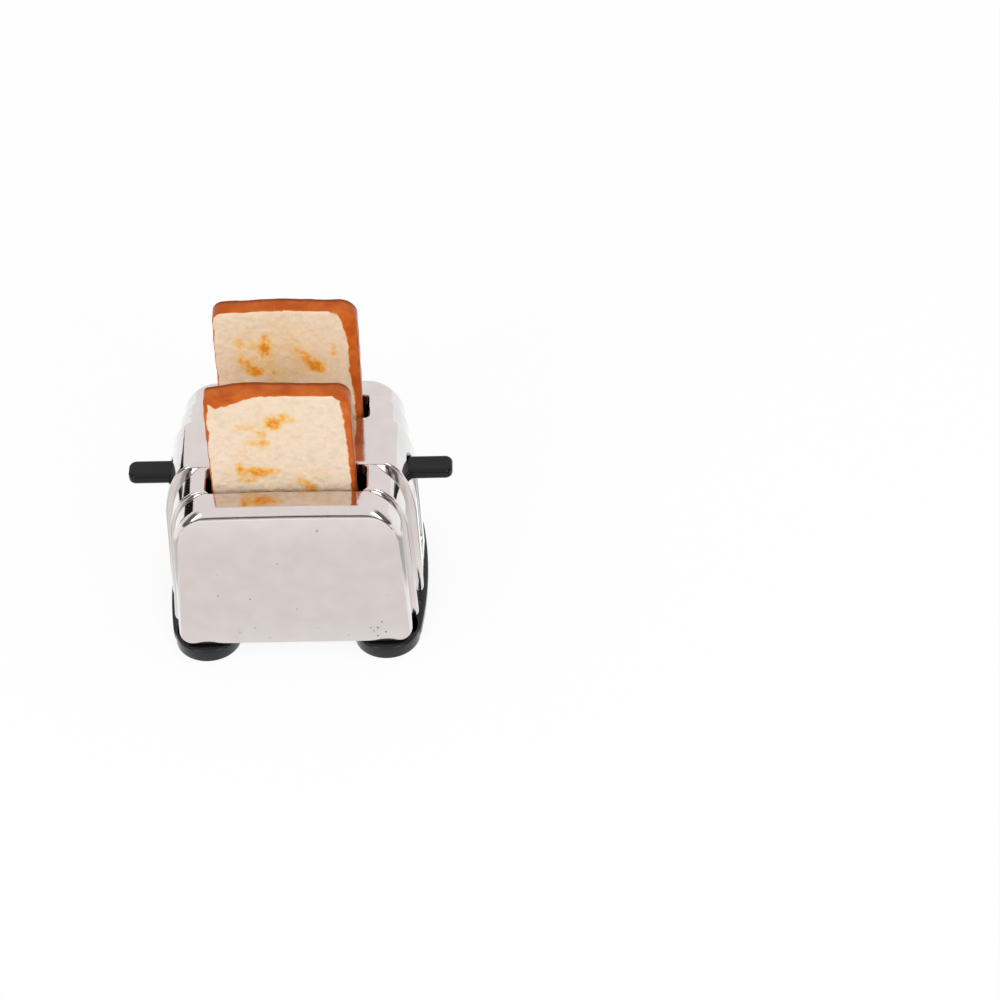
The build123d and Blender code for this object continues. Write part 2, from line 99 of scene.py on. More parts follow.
# ---------------------------------------------------------------- meshes
@dataclass
class Skin:
    """Surfaces gathered for one piece: grids of points, and bands between two lines of points."""

    name: str
    finishes: tuple[bpy.types.Material, ...]
    points: list[np.ndarray] = field(default_factory=list)
    quads: list[np.ndarray] = field(default_factory=list)
    marks: list[np.ndarray] = field(default_factory=list)

    def sheet(self, grid: np.ndarray, mark: int = 0, ring: bool = False) -> None:
        """Add the surface through a grid of points.

        Args:
            grid: Points as rows, columns and their three coordinates, in millimetres.
            mark: Index of the finish.
            ring: Whether the last column joins the first.
        """
        rows, columns = grid.shape[:2]
        index = sum(len(p) for p in self.points) + np.arange(rows * columns).reshape(rows, columns)
        if ring:
            index = np.concatenate([index, index[:, :1]], axis=1)
        quads = np.stack([index[:-1, :-1], index[:-1, 1:], index[1:, 1:], index[1:, :-1]], axis=-1).reshape(-1, 4)
        self.points.append(grid.reshape(-1, 3))
        self.quads.append(quads)
        self.marks.append(np.full(len(quads), mark))

    def band(self, one: np.ndarray, other: np.ndarray, mark: int = 0, ring: bool = False) -> None:
        """Add the straight surface between two lines of as many points.

        Args:
            one: First line of points.
            other: Second line of points.
            mark: Index of the finish.
            ring: Whether the lines are closed.
        """
        self.sheet(np.stack([one, other]), mark, ring)

    def shell(self, outer: np.ndarray, inner: np.ndarray, rows: tuple[int, ...] = (),
              columns: tuple[int, ...] = (), ring: bool = False) -> None:
        """Add an outer and an inner surface, and the bands that join their borders.

        Args:
            outer: Grid of the first finish.
            inner: Grid of the second finish, of the same size.
            rows: Rows to join, 0 for the first and -1 for the last.
            columns: Columns to join in the same way.
            ring: Whether the last column joins the first.
        """
        self.sheet(outer, 0, ring)
        self.sheet(inner, 1, ring)
        for row in rows:
            self.band(outer[row], inner[row], ring=ring)
        for column in columns:
            self.band(outer[:, column], inner[:, column])

    def cap(self, line: np.ndarray) -> None:
        """Close a ring of points with a fan to its middle."""
        self.band(line, np.broadcast_to(line.mean(0), line.shape), ring=True)

    def join(self, other: "Skin", factors: tuple[float, float, float] = (1, 1, 1)) -> None:
        """Add a copy of another skin.

        Args:
            other: The skin to copy.
            factors: What its coordinates are multiplied by, such as -1 for a mirror.
        """
        shift = sum(len(p) for p in self.points)
        self.points.extend(p * np.array(factors) for p in other.points)
        self.quads.extend(q + shift for q in other.quads)
        self.marks.extend(other.marks)

    def piece(self, sharp: float = 38.0) -> bpy.types.Object:
        """Make the object.

        Args:
            sharp: Angle in degrees from which an edge stays crisp.

        Returns:
            A linked object at the origin, with its doubles merged and its faces pointing outwards.
        """
        mesh = bpy.data.meshes.new(self.name)
        points = np.concatenate(self.points) * MM
        mesh.from_pydata(points.tolist(), [], np.concatenate(self.quads).tolist())
        mesh.polygons.foreach_set("material_index", np.concatenate(self.marks).astype(np.int32))
        work = bmesh.new()
        work.from_mesh(mesh)
        bmesh.ops.remove_doubles(work, verts=work.verts, dist=MERGE)
        bmesh.ops.recalc_face_normals(work, faces=work.faces)
        work.to_mesh(mesh)
        work.free()
        mesh.polygons.foreach_set("use_smooth", np.ones(len(mesh.polygons), bool))
        mesh.set_sharp_from_angle(angle=math.radians(sharp))
        for finish in self.finishes:
            mesh.materials.append(finish)
        made = bpy.data.objects.new(self.name, mesh)
        bpy.context.scene.collection.objects.link(made)
        return made


def coordinates(piece: bpy.types.Object) -> np.ndarray:
    """Read the points of a piece's mesh.

    Args:
        piece: The piece.

    Returns:
        Its points, in millimetres.
    """
    flat = np.zeros(len(piece.data.vertices) * 3, np.float32)
    piece.data.vertices.foreach_get("co", flat)
    return flat.reshape(-1, 3).astype(float) / MM


def note(piece: bpy.types.Object, name: str, values: np.ndarray) -> None:
    """Store one number for each point of a piece, for its material to read."""
    piece.data.attributes.new(name, "FLOAT", "POINT").data.foreach_set("value", values.astype(np.float32))


def place(piece: bpy.types.Object, body: Body, slot: str, *nodes: str) -> None:
    """Tie a piece to the frame.

    Args:
        piece: The piece.
        body: The body that it rides on.
        slot: The record's slot for its finish; not used.
        *nodes: The nodes that it stands for.
    """
    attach(piece, body.value)
    if nodes:
        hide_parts(*nodes)
    LOG.info("%s: %d points, rides on %s", piece.name, len(piece.data.vertices), body.value)


# ---------------------------------------------------------------- lines and small forms
def quarter(steps: int) -> np.ndarray:
    """Angles of a quarter turn, both ends included."""
    return np.linspace(0, np.pi / 2, steps + 1)


def roll(radius: float, steps: int = ROLL) -> tuple[np.ndarray, np.ndarray]:
    """Rolled edge: how far it still lies under the next face, r (1 - sin a), and how far it has come, r (1 - cos a)."""
    return radius * (1 - np.sin(quarter(steps))), radius * (1 - np.cos(quarter(steps)))


def smooth(values: np.ndarray) -> np.ndarray:
    """Ease from 0 to 1 with level ends: 3t^2 - 2t^3 of the value held between 0 and 1."""
    held = np.clip(values, 0, 1)
    return held * held * (3 - 2 * held)


def mix(one: np.ndarray, other: np.ndarray, share: np.ndarray | float) -> np.ndarray:
    """The points a share of the way from one line to another."""
    return one + (other - one) * share


def turned(profile: np.ndarray, centre: tuple[float, float], sides: int) -> np.ndarray:
    """Turn a profile around an upright axis: x = cx + r cos a, y = cy + r sin a, z = z.

    Args:
        profile: Radius and height of each station.
        centre: Place of the axis in X and Y.
        sides: Steps around the axis.

    Returns:
        A grid with a row for each station, closed around its columns.
    """
    angle = np.linspace(0, 2 * np.pi, sides, endpoint=False)
    radius, height = profile[:, :1], profile[:, 1:]
    return spread(centre[0] + radius * np.cos(angle), centre[1] + radius * np.sin(angle), height)


def rounded(corners: np.ndarray, radii: np.ndarray, steps: int = 10) -> np.ndarray:
    """Polygon with rounded corners: at each corner a fan of points on the circle that touches both sides.

    Args:
        corners: Corners in order, anticlockwise.
        radii: Radius at each corner.
        steps: Steps on each rounding.

    Returns:
        The closed line, without its first point repeated.
    """
    line = []
    for before, corner, after, radius in zip(np.roll(corners, 1, 0), corners, np.roll(corners, -1, 0), radii):
        back = (before - corner) / np.linalg.norm(before - corner)
        on = (after - corner) / np.linalg.norm(after - corner)
        half = math.acos(float(np.clip(back @ on, -1, 1))) / 2
        middle = corner + (back + on) / np.linalg.norm(back + on) * radius / math.sin(half)
        start = corner + back * radius / math.tan(half) - middle
        end = corner + on * radius / math.tan(half) - middle
        sweep = math.pi - 2 * half
        share = np.linspace(0, 1, steps + 1)[:, None]
        line.append(middle + (start * np.sin((1 - share) * sweep) + end * np.sin(share * sweep)) / math.sin(sweep))
    return np.concatenate(line)


def evenly(line: np.ndarray, count: int) -> np.ndarray:
    """Walk a closed line at an even pace: interpolate its points against the length along it.

    Args:
        line: Points in order.
        count: How many points to set.

    Returns:
        The new points.
    """
    closed = np.concatenate([line, line[:1]])
    along = np.concatenate([[0], np.cumsum(np.linalg.norm(np.diff(closed, axis=0), axis=1))])
    stops = np.linspace(0, along[-1], count, endpoint=False)
    return np.stack([np.interp(stops, along, closed[:, axis]) for axis in range(2)], axis=1)


def inset(line: np.ndarray, depth: np.ndarray | float) -> np.ndarray:
    """Move a closed anticlockwise line inwards, along the normal of the chord between its neighbours.

    Args:
        line: Points in order.
        depth: How far to move them.

    Returns:
        The new points.
    """
    chord = np.roll(line, -1, 0) - np.roll(line, 1, 0)
    chord /= np.maximum(np.linalg.norm(chord, axis=1, keepdims=True), 1e-9)
    return line + np.stack([-chord[:, 1], chord[:, 0]], axis=1) * depth


def spread(x: np.ndarray, y: np.ndarray | float, z: np.ndarray | float) -> np.ndarray:
    """Points from their three coordinates, spread over one shape."""
    return np.stack(np.broadcast_arrays(x, y, z), axis=-1)


def upright(line: np.ndarray, y: float) -> np.ndarray:
    """Stand an outline in X and Z upright at one depth."""
    return spread(line[:, 0], y, line[:, 1])


def grain(points: np.ndarray, cell: float, seed: int) -> np.ndarray:
    """Soft random field from -1 to 1: eased blend of the eight random values around each point.

    Args:
        points: Places, in millimetres.
        cell: Size of one random cell.
        seed: Seed of the random values.

    Returns:
        One value for each place.
    """
    size = 64
    lattice = np.random.default_rng(seed).uniform(-1, 1, (size, size, size))
    scaled = points / cell
    low = np.floor(scaled).astype(int)
    share = smooth(scaled - low)
    value = np.zeros(len(points))
    for corner in np.ndindex(2, 2, 2):
        weight = np.prod(np.where(np.array(corner) == 1, share, 1 - share), axis=1)
        x, y, z = ((low + np.array(corner)) % size).T
        value += weight * lattice[x, y, z]
    return value


# ---------------------------------------------------------------- finishes
def linear(colour: str) -> tuple[float, float, float, float]:
    """Turn an sRGB hex colour into Blender's linear red, green, blue and alpha."""
    parts = [int(colour[i:i + 2], 16) / 255 for i in (1, 3, 5)]
    return (*[p / 12.92 if p <= 0.04045 else ((p + 0.055) / 1.055) ** 2.4 for p in parts], 1.0)


def per_mm(size: float) -> float:
    """Noise scale whose blobs are about that many millimetres across, on Object coordinates in metres."""
    return 1 / (size * MM)


def feed(node: bpy.types.Node, links: dict) -> None:
    """Feed the inputs of a node.

    Args:
        node: The node.
        links: Input name or index to a value, to a socket that feeds it, or to a node whose first output does.
    """
    for name, value in links.items():
        if isinstance(value, bpy.types.Node):
            value = value.outputs[0]
        if isinstance(value, bpy.types.NodeSocket):
            node.id_data.links.new(value, node.inputs[name])
        else:
            node.inputs[name].default_value = value


def add(tree: bpy.types.NodeTree, kind: str, links: dict | None = None, **settings: object) -> bpy.types.Node:
    """Add a node.

    Args:
        tree: Where to add it.
        kind: The node's type name.
        links: What its inputs get, as feed takes it.
        **settings: The node's own properties.

    Returns:
        The new node.
    """
    node = tree.nodes.new(kind)
    for name, value in settings.items():
        setattr(node, name, value)
    feed(node, links or {})
    return node


def bare_tree(owner: bpy.types.Material | bpy.types.World) -> bpy.types.NodeTree:
    """Turn on the nodes of a material or a world, and clear them.

    Args:
        owner: What the nodes belong to.

    Returns:
        Its empty tree.
    """
    owner.use_nodes = True
    owner.node_tree.nodes.clear()
    return owner.node_tree


def zone(tree: bpy.types.NodeTree, *windows: tuple, unit: float = 1.0) -> bpy.types.Node:
    """Share of a place in a zone: the product of windows that rise and fall with level ends.

    Args:
        tree: Where to add the nodes.
        *windows: A value, two marks between which its window rises to 1, and two between which it falls to 0.
        unit: What the marks are counted in.

    Returns:
        The node whose first output is the share.
    """
    shares = [
        add(tree, "ShaderNodeMapRange", {"Value": value, "From Min": low * unit, "From Max": high * unit},
            interpolation_type="SMOOTHSTEP")
        for value, *marks in windows for low, high in (marks[:2], marks[:1:-1])]
    whole = shares[0]
    for share in shares[1:]:
        whole = add(tree, "ShaderNodeMath", {0: whole, 1: share}, operation="MULTIPLY")
    return whole


@dataclass(frozen=True)
class Finish:
    """What every finish has: a name, a fresh material and a way to vary it."""

    name: str

    def start(self, constants: dict[str, float]) -> tuple[
            bpy.types.Material, bpy.types.NodeTree, bpy.types.Node, bpy.types.NodeSocket]:
        """Make the material.

        Args:
            constants: Values that are the same all over the surface, by the name of their socket.

        Returns:
            The material, its tree, its Principled node and the Object coordinates.
        """
        material = bpy.data.materials.new(self.name)
        tree = bare_tree(material)
        surface = add(tree, "ShaderNodeBsdfPrincipled", constants)
        add(tree, "ShaderNodeOutputMaterial", {"Surface": surface})
        return material, tree, surface, add(tree, "ShaderNodeTexCoord").outputs["Object"]

    def vary(self, surface: bpy.types.Node, pattern: bpy.types.Node, tones: tuple[str, str],
             relief: tuple[float, float], haze: tuple[float, float] | None = None) -> None:
        """Let one pattern change the colour, the relief and the roughness of a surface.

        Args:
            surface: The Principled node.
            pattern: Node whose first output runs from 0 to 1.
            tones: Colours at 0 and at 1.
            relief: Strength of the relief, and its depth in millimetres.
            haze: Roughness at 0 and at 1, where it changes.
        """
        tree = surface.id_data
        tone = add(tree, "ShaderNodeMix", {0: pattern, 6: linear(tones[0]), 7: linear(tones[1])}, data_type="RGBA")
        bump = add(tree, "ShaderNodeBump", {"Height": pattern, "Strength": relief[0], "Distance": relief[1] * MM})
        feed(surface, {"Base Color": tone.outputs[2], "Normal": bump})
        if haze:
            rough = add(tree, "ShaderNodeMapRange", {"Value": pattern, "To Min": haze[0], "To Max": haze[1]})
            feed(surface, {"Roughness": rough})


@dataclass(frozen=True)
class BrightPlating(Finish):
    """Bright plating on a small zinc casting: a mirror with shallow waves and a few casting pits.

    The waves bend reflections softly, and each pit is a dark speck with a lit rim. wave, ripple and speck are
    sizes in millimetres; pits holds the place in X and Z and the radius of each larger pit in the front face.
    """

    colour: str = "#d4cac8"
    cloud: str = "#e0d7d4"
    pit_tone: str = "#b3aaa7"
    roughness: float = 0.085
    wave: float = 1.6
    ripple: float = 0.35
    speck: float = 1.9
    pits: tuple[tuple[float, float, float], ...] = ()
    pit_plane: float = -7.7

    def make(self) -> bpy.types.Material:
        """Build the material.

        Returns:
            The material.
        """
        material, tree, surface, where = self.start({"Metallic": 1.0})
        waves, ripples = (
            add(tree, "ShaderNodeTexNoise", {"Vector": where, "Scale": per_mm(size), "Detail": detail})
            for size, detail in ((self.wave, 1.0), (self.ripple, 2.0)))
        specks = add(tree, "ShaderNodeTexVoronoi", {"Vector": where, "Scale": per_mm(self.speck)}, feature="F1")
        depth = add(tree, "ShaderNodeMapRange", {
            "Value": specks.outputs["Distance"], "From Min": 0.02, "From Max": 0.06,
            "To Min": 0.6, "To Max": 0.0})
        for x, z, radius in self.pits:
            spot = (x * MM, self.pit_plane * MM, z * MM)
            gap = add(tree, "ShaderNodeVectorMath", {0: where, 1: spot}, operation="DISTANCE")
            dimple = add(tree, "ShaderNodeMapRange", {
                "Value": gap.outputs["Value"], "From Min": radius * 0.4 * MM, "From Max": radius * MM,
                "To Min": 1.0, "To Max": 0.0}, interpolation_type="SMOOTHSTEP")
            depth = add(tree, "ShaderNodeMath", {0: depth, 1: dimple}, operation="MAXIMUM")
        soft = add(tree, "ShaderNodeBump", {"Height": waves, "Strength": 0.09, "Distance": 0.1 * MM})
        fine = add(tree, "ShaderNodeBump", {
            "Height": ripples, "Strength": 0.06, "Distance": 0.03 * MM, "Normal": soft})
        pitted = add(tree, "ShaderNodeBump", {
            "Height": depth, "Strength": 0.6, "Distance": 0.05 * MM, "Normal": fine}, invert=True)
        cloud = add(tree, "ShaderNodeMix", {
            0: waves, 6: linear(self.colour), 7: linear(self.cloud)}, data_type="RGBA")
        tint = add(tree, "ShaderNodeMix", {
            0: depth, 6: cloud.outputs[2], 7: linear(self.pit_tone)}, data_type="RGBA")
        haze = add(tree, "ShaderNodeMapRange", {
            "Value": waves, "To Min": self.roughness * 0.7, "To Max": self.roughness * 1.4})
        feed(surface, {"Base Color": tint.outputs[2], "Roughness": haze, "Normal": pitted})
        return material


@dataclass(frozen=True)
class RawZincPaintedShade(Finish):
    """Unpolished inside of the casting, dull and sandy; its dark colour is painted shade, so that the slots read as
    dark holes.
    """

    colour: str = "#3d2c27"
    shade: str = "#120c0b"
    sand: float = 0.25

    def make(self) -> bpy.types.Material:
        """Build the material.

        Returns:
            The material.
        """
        material, tree, surface, where = self.start({"Metallic": 0.4, "Roughness": 0.65})
        sand = add(tree, "ShaderNodeTexNoise", {"Vector": where, "Scale": per_mm(self.sand), "Detail": 4.0})
        self.vary(surface, sand, (self.colour, self.shade), relief=(0.4, 0.05))
        return material


@dataclass(frozen=True)
class GlossBlack(Finish):
    """Black enamel or moulded black plastic: deep, with a clear highlight and a faint skin texture.

    shine is how much the surface itself mirrors, coat how much a clear layer over it does; skin is the size of
    the texture in millimetres and relief its strength.
    """

    colour: str = "#0b0b0d"
    edge_colour: str = "#17171a"
    roughness: float = 0.16
    coat: float = 0.6
    skin: float = 0.5
    relief: float = 0.12
    shine: float = 0.35

    def make(self) -> bpy.types.Material:
        """Build the material.

        Returns:
            The material.
        """
        material, tree, surface, where = self.start({
            "Specular IOR Level": self.shine, "Coat Weight": self.coat, "Coat Roughness": 0.06})
        skin = add(tree, "ShaderNodeTexNoise", {"Vector": where, "Scale": per_mm(self.skin), "Detail": 3.0})
        self.vary(surface, skin, (self.colour, self.edge_colour), relief=(self.relief, 0.05),
                  haze=(self.roughness * 0.7, self.roughness * 1.5))
        return material


@dataclass(frozen=True)
class DrawnSteel(Finish):
    """Thin bright steel, rolled or drawn: fine lines along its length catch the light.

    line is how far apart the lines are, in millimetres, and stretch how much less the pattern changes along them.
    """

    colour: str = "#b9b8b8"
    shade: str = "#7d7c7c"
    roughness: float = 0.3
    stretch: tuple[float, float, float] = (0.05, 1.0, 1.0)
    line: float = 0.12

    def make(self) -> bpy.types.Material:
        """Build the material.

        Returns:
            The material.
        """
        material, tree, surface, where = self.start({"Metallic": 1.0})
        pulled = add(tree, "ShaderNodeMapping", {"Vector": where, "Scale": self.stretch})
        lines = add(tree, "ShaderNodeTexNoise", {"Vector": pulled, "Scale": per_mm(self.line), "Detail": 3.0})
        self.vary(surface, lines, (self.colour, self.shade), relief=(0.15, 0.02),
                  haze=(self.roughness * 0.7, self.roughness * 1.3))
        return material


@dataclass(frozen=True)
class BakedClay(Finish):
    """Polymer clay bread, pressed, brushed with brown and baked: grainy crumb, watery dabs and a painted crust.

    The points of the piece carry three numbers: crust, where brown was painted over, and from 1 up to 2 the
    painted shade that darkens it; toasting, where orange was dabbed on and broke up on the grain; and wash, where a
    thin warm wash was left.
    """

    crumb: str = "#efd9c0"
    crumb_shade: str = "#e2cfb2"
    wash: str = "#edc78e"
    halo: str = "#f0c78c"
    dab: str = "#f0aa50"
    dab_deep: str = "#e38f25"
    bleed: str = "#e0914c"
    crust: str = "#c9601c"
    crust_dark: str = "#bb5415"
    crust_light: str = "#d06e28"
    crust_painted_shade: str = "#8c3c12"

    def coats(self, tree: bpy.types.NodeTree, base: str | bpy.types.NodeSocket, *layers: tuple
              ) -> bpy.types.NodeSocket:
        """Lay colours over a base, each where its value has risen from its first mark to its second.

        Args:
            tree: Where to add the nodes.
            base: The lowest colour, a hex string or a socket.
            *layers: A colour, the value that says where it lies, and its two marks.

        Returns:
            The socket with the colour on top.
        """
        for colour, value, low, high in layers:
            share = add(tree, "ShaderNodeMapRange", {
                "Value": value, "From Min": low, "From Max": high}, interpolation_type="SMOOTHSTEP")
            under, over = (linear(c) if isinstance(c, str) else c for c in (base, colour))
            base = add(tree, "ShaderNodeMix", {0: share, 6: under, 7: over}, data_type="RGBA").outputs[2]
        return base

    def make(self) -> bpy.types.Material:
        """Build the material: crumb, wash, dabs and crust laid over each other, and the pressed relief.

        Returns:
            The material.
        """
        material, tree, surface, where = self.start({"Specular IOR Level": 0.14})
        painted, toasting, wash = (
            add(tree, "ShaderNodeAttribute", attribute_name=name).outputs["Fac"]
            for name in ("crust", "toasting", "wash"))
        cloud, press, grit, brush, tear = (
            add(tree, "ShaderNodeTexNoise", {"Vector": where, "Scale": per_mm(size), "Detail": detail})
            for size, detail in ((1.6, 2.0), (0.62, 2.0), (0.3, 3.0), (1.3, 3.0), (0.38, 4.0)))
        bare = self.coats(tree, self.crumb, (self.crumb_shade, press, 0.45, 0.8))
        patchy = add(tree, "ShaderNodeMapRange", {
            "Value": cloud, "From Min": 0.2, "From Max": 0.7}, interpolation_type="SMOOTHSTEP")
        thin = add(tree, "ShaderNodeMath", {0: wash, 1: patchy}, operation="MULTIPLY")
        washed = add(tree, "ShaderNodeMix", {0: thin, 6: bare, 7: linear(self.wash)}, data_type="RGBA").outputs[2]
        ragged = add(tree, "ShaderNodeMapRange", {
            "Value": tear, "From Min": 0.3, "From Max": 0.7, "To Min": 0.42, "To Max": 1.4})
        broken = add(tree, "ShaderNodeMath", {0: ragged, 1: toasting}, operation="MULTIPLY")
        dabbed = self.coats(tree, washed, (self.halo, broken, 0.1, 0.4), (self.dab, broken, 0.38, 0.7),
                            (self.dab_deep, broken, 0.75, 1.05))
        # From 1 up to 2 the crust mask is painted shade: the brown darkens towards the last colour.
        brown = self.coats(tree, self.crust_dark, (self.crust, brush, 0.35, 0.55),
                           (self.crust_light, brush, 0.5, 0.75), (self.crust_painted_shade, painted, 1.1, 1.9))
        colour = self.coats(tree, dabbed, (self.bleed, painted, 0.1, 0.45), (brown, painted, 0.4, 0.8))
        gloss = add(tree, "ShaderNodeMapRange", {"Value": painted, "To Min": 0.5, "To Max": 0.34})
        relief = add(tree, "ShaderNodeMapRange", {"Value": painted, "To Min": 0.8, "To Max": 0.3})
        pressed = add(tree, "ShaderNodeBump", {"Height": press, "Strength": relief, "Distance": 0.2 * MM})
        rough = add(tree, "ShaderNodeBump", {
            "Height": grit, "Strength": 0.5, "Distance": 0.05 * MM, "Normal": pressed})
        feed(surface, {"Base Color": colour, "Roughness": gloss, "Normal": rough})
        return material


# ---------------------------------------------------------------- casting
@dataclass(frozen=True)
class Arch:
    """Outline of one layer of the casting, seen from the front, with elliptical shoulders.

    low and high are its half widths at the foot and at the shoulder, run and rise the shoulder's half axes, corner
    the foot's radius, and base the height of its foot above the table.
    """

    low: float
    high: float
    height: float
    run: float
    rise: float
    corner: float = 1.2
    base: float = 1.2

    def half(self, square_foot: bool = False, side: np.ndarray | None = None) -> np.ndarray:
        """Left half from the foot to the end of the shoulder.

        Foot: x = -(low - c) - c sin a, z = c - c cos a. Shoulder: x = -(high - run) - run cos e,
        z = height - rise + rise sin e.

        Args:
            square_foot: Whether the foot goes straight down, as on the inside.
            side: Shares along the straight side, without its ends.

        Returns:
            Points in X and Z.
        """
        climb = quarter(SHOULDER)
        shift, foot_z = roll(self.corner, TURN)
        foot_x = -self.low + (0 * shift if square_foot else shift)
        share = np.linspace(0, 1, TURN + 1)[1:-1] if side is None else side
        top = self.height - self.rise
        side_x = -self.low + (self.low - self.high) * share
        side_z = self.corner + (top - self.corner) * share
        x = np.concatenate([foot_x, side_x, -(self.high - self.run) - self.run * np.cos(climb)])
        z = np.concatenate([foot_z, side_z, top + self.rise * np.sin(climb)])
        return np.stack([x, z + self.base], axis=1)

    def crowned(self, x: np.ndarray, z: np.ndarray) -> np.ndarray:
        """Lower the roof a little towards its ends: z less CROWN (x / high)^2, eased in over the shoulder."""
        return z - CROWN * (x / self.high) ** 2 * smooth((z - self.shoulder()) / self.rise)

    def roofed(self, line: np.ndarray) -> np.ndarray:
        """The outline with its roof crowned."""
        return np.stack([line[:, 0], self.crowned(line[:, 0], line[:, 1])], axis=1)

    def whole(self, square_foot: bool = False, side: np.ndarray | None = None, roof: int = 24) -> np.ndarray:
        """Outline from the left foot over the roof to the right foot.

        Args:
            square_foot: Whether the feet go straight down, as on the inside.
            side: Shares along the straight sides, without their ends.
            roof: Steps across the roof.

        Returns:
            Points in X and Z.
        """
        left = self.half(square_foot, side)
        over = np.linspace(left[-1, 0], -left[-1, 0], roof + 1)[1:-1]
        crown = np.stack([over, np.full(len(over), left[-1, 1])], axis=1)
        return np.concatenate([left, crown, left[::-1] * (-1, 1)])

    def shoulder(self) -> float:
        """Height at which the straight side ends."""
        return self.base + self.height - self.rise

    def draft(self, z: np.ndarray) -> np.ndarray:
        """How much wider than its upper end the straight side is at a height."""
        foot = self.base + self.corner
        return (self.low - self.high) * np.clip((self.shoulder() - z) / (self.shoulder() - foot), 0, 1)

    def inside(self, wall: float, roof: float) -> "Arch":
        """The hollow's arch within even walls."""
        return Arch(self.low - wall, self.high - wall, self.height - roof, self.run, self.rise, self.corner, self.base)


def footed(outline: np.ndarray) -> np.ndarray:
    """Close an open outline along its foot, from its last point back to its first."""
    return np.concatenate([outline, np.linspace(outline[-1], outline[0], FOOT_STEPS + 1)[1:-1]])


def inward(line: np.ndarray) -> np.ndarray:
    """Unit normals of an outline that runs left to right over the roof: the tangent turned to the right.

    Args:
        line: Points in X and Z.

    Returns:
        A normal for each point.
    """
    tangent = np.gradient(line, axis=0)
    tangent /= np.linalg.norm(tangent, axis=1, keepdims=True)
    return np.stack([tangent[:, 1], -tangent[:, 0]], axis=1)


def lifted(line: np.ndarray, depth_y: np.ndarray, sink: np.ndarray | float = 0.0) -> np.ndarray:
    """Carry an outline through depths: point = (x, y, z) + inward normal times how far that row sinks.

    Args:
        line: Points in X and Z, for all rows, or one line for each row.
        depth_y: Y of each row, or of each row and column.
        sink: How far each row, or each row and column, lies under the outline.

    Returns:
        A grid of rows and columns.
    """
    y = np.atleast_1d(depth_y)
    y = y[:, None] if y.ndim == 1 else y
    sink = np.asarray(sink, float)
    sink = sink[:, None] if sink.ndim == 1 else sink
    normal = inward(line)
    return spread(line[:, 0] + normal[:, 0] * sink, y, line[:, 1] + normal[:, 1] * sink)


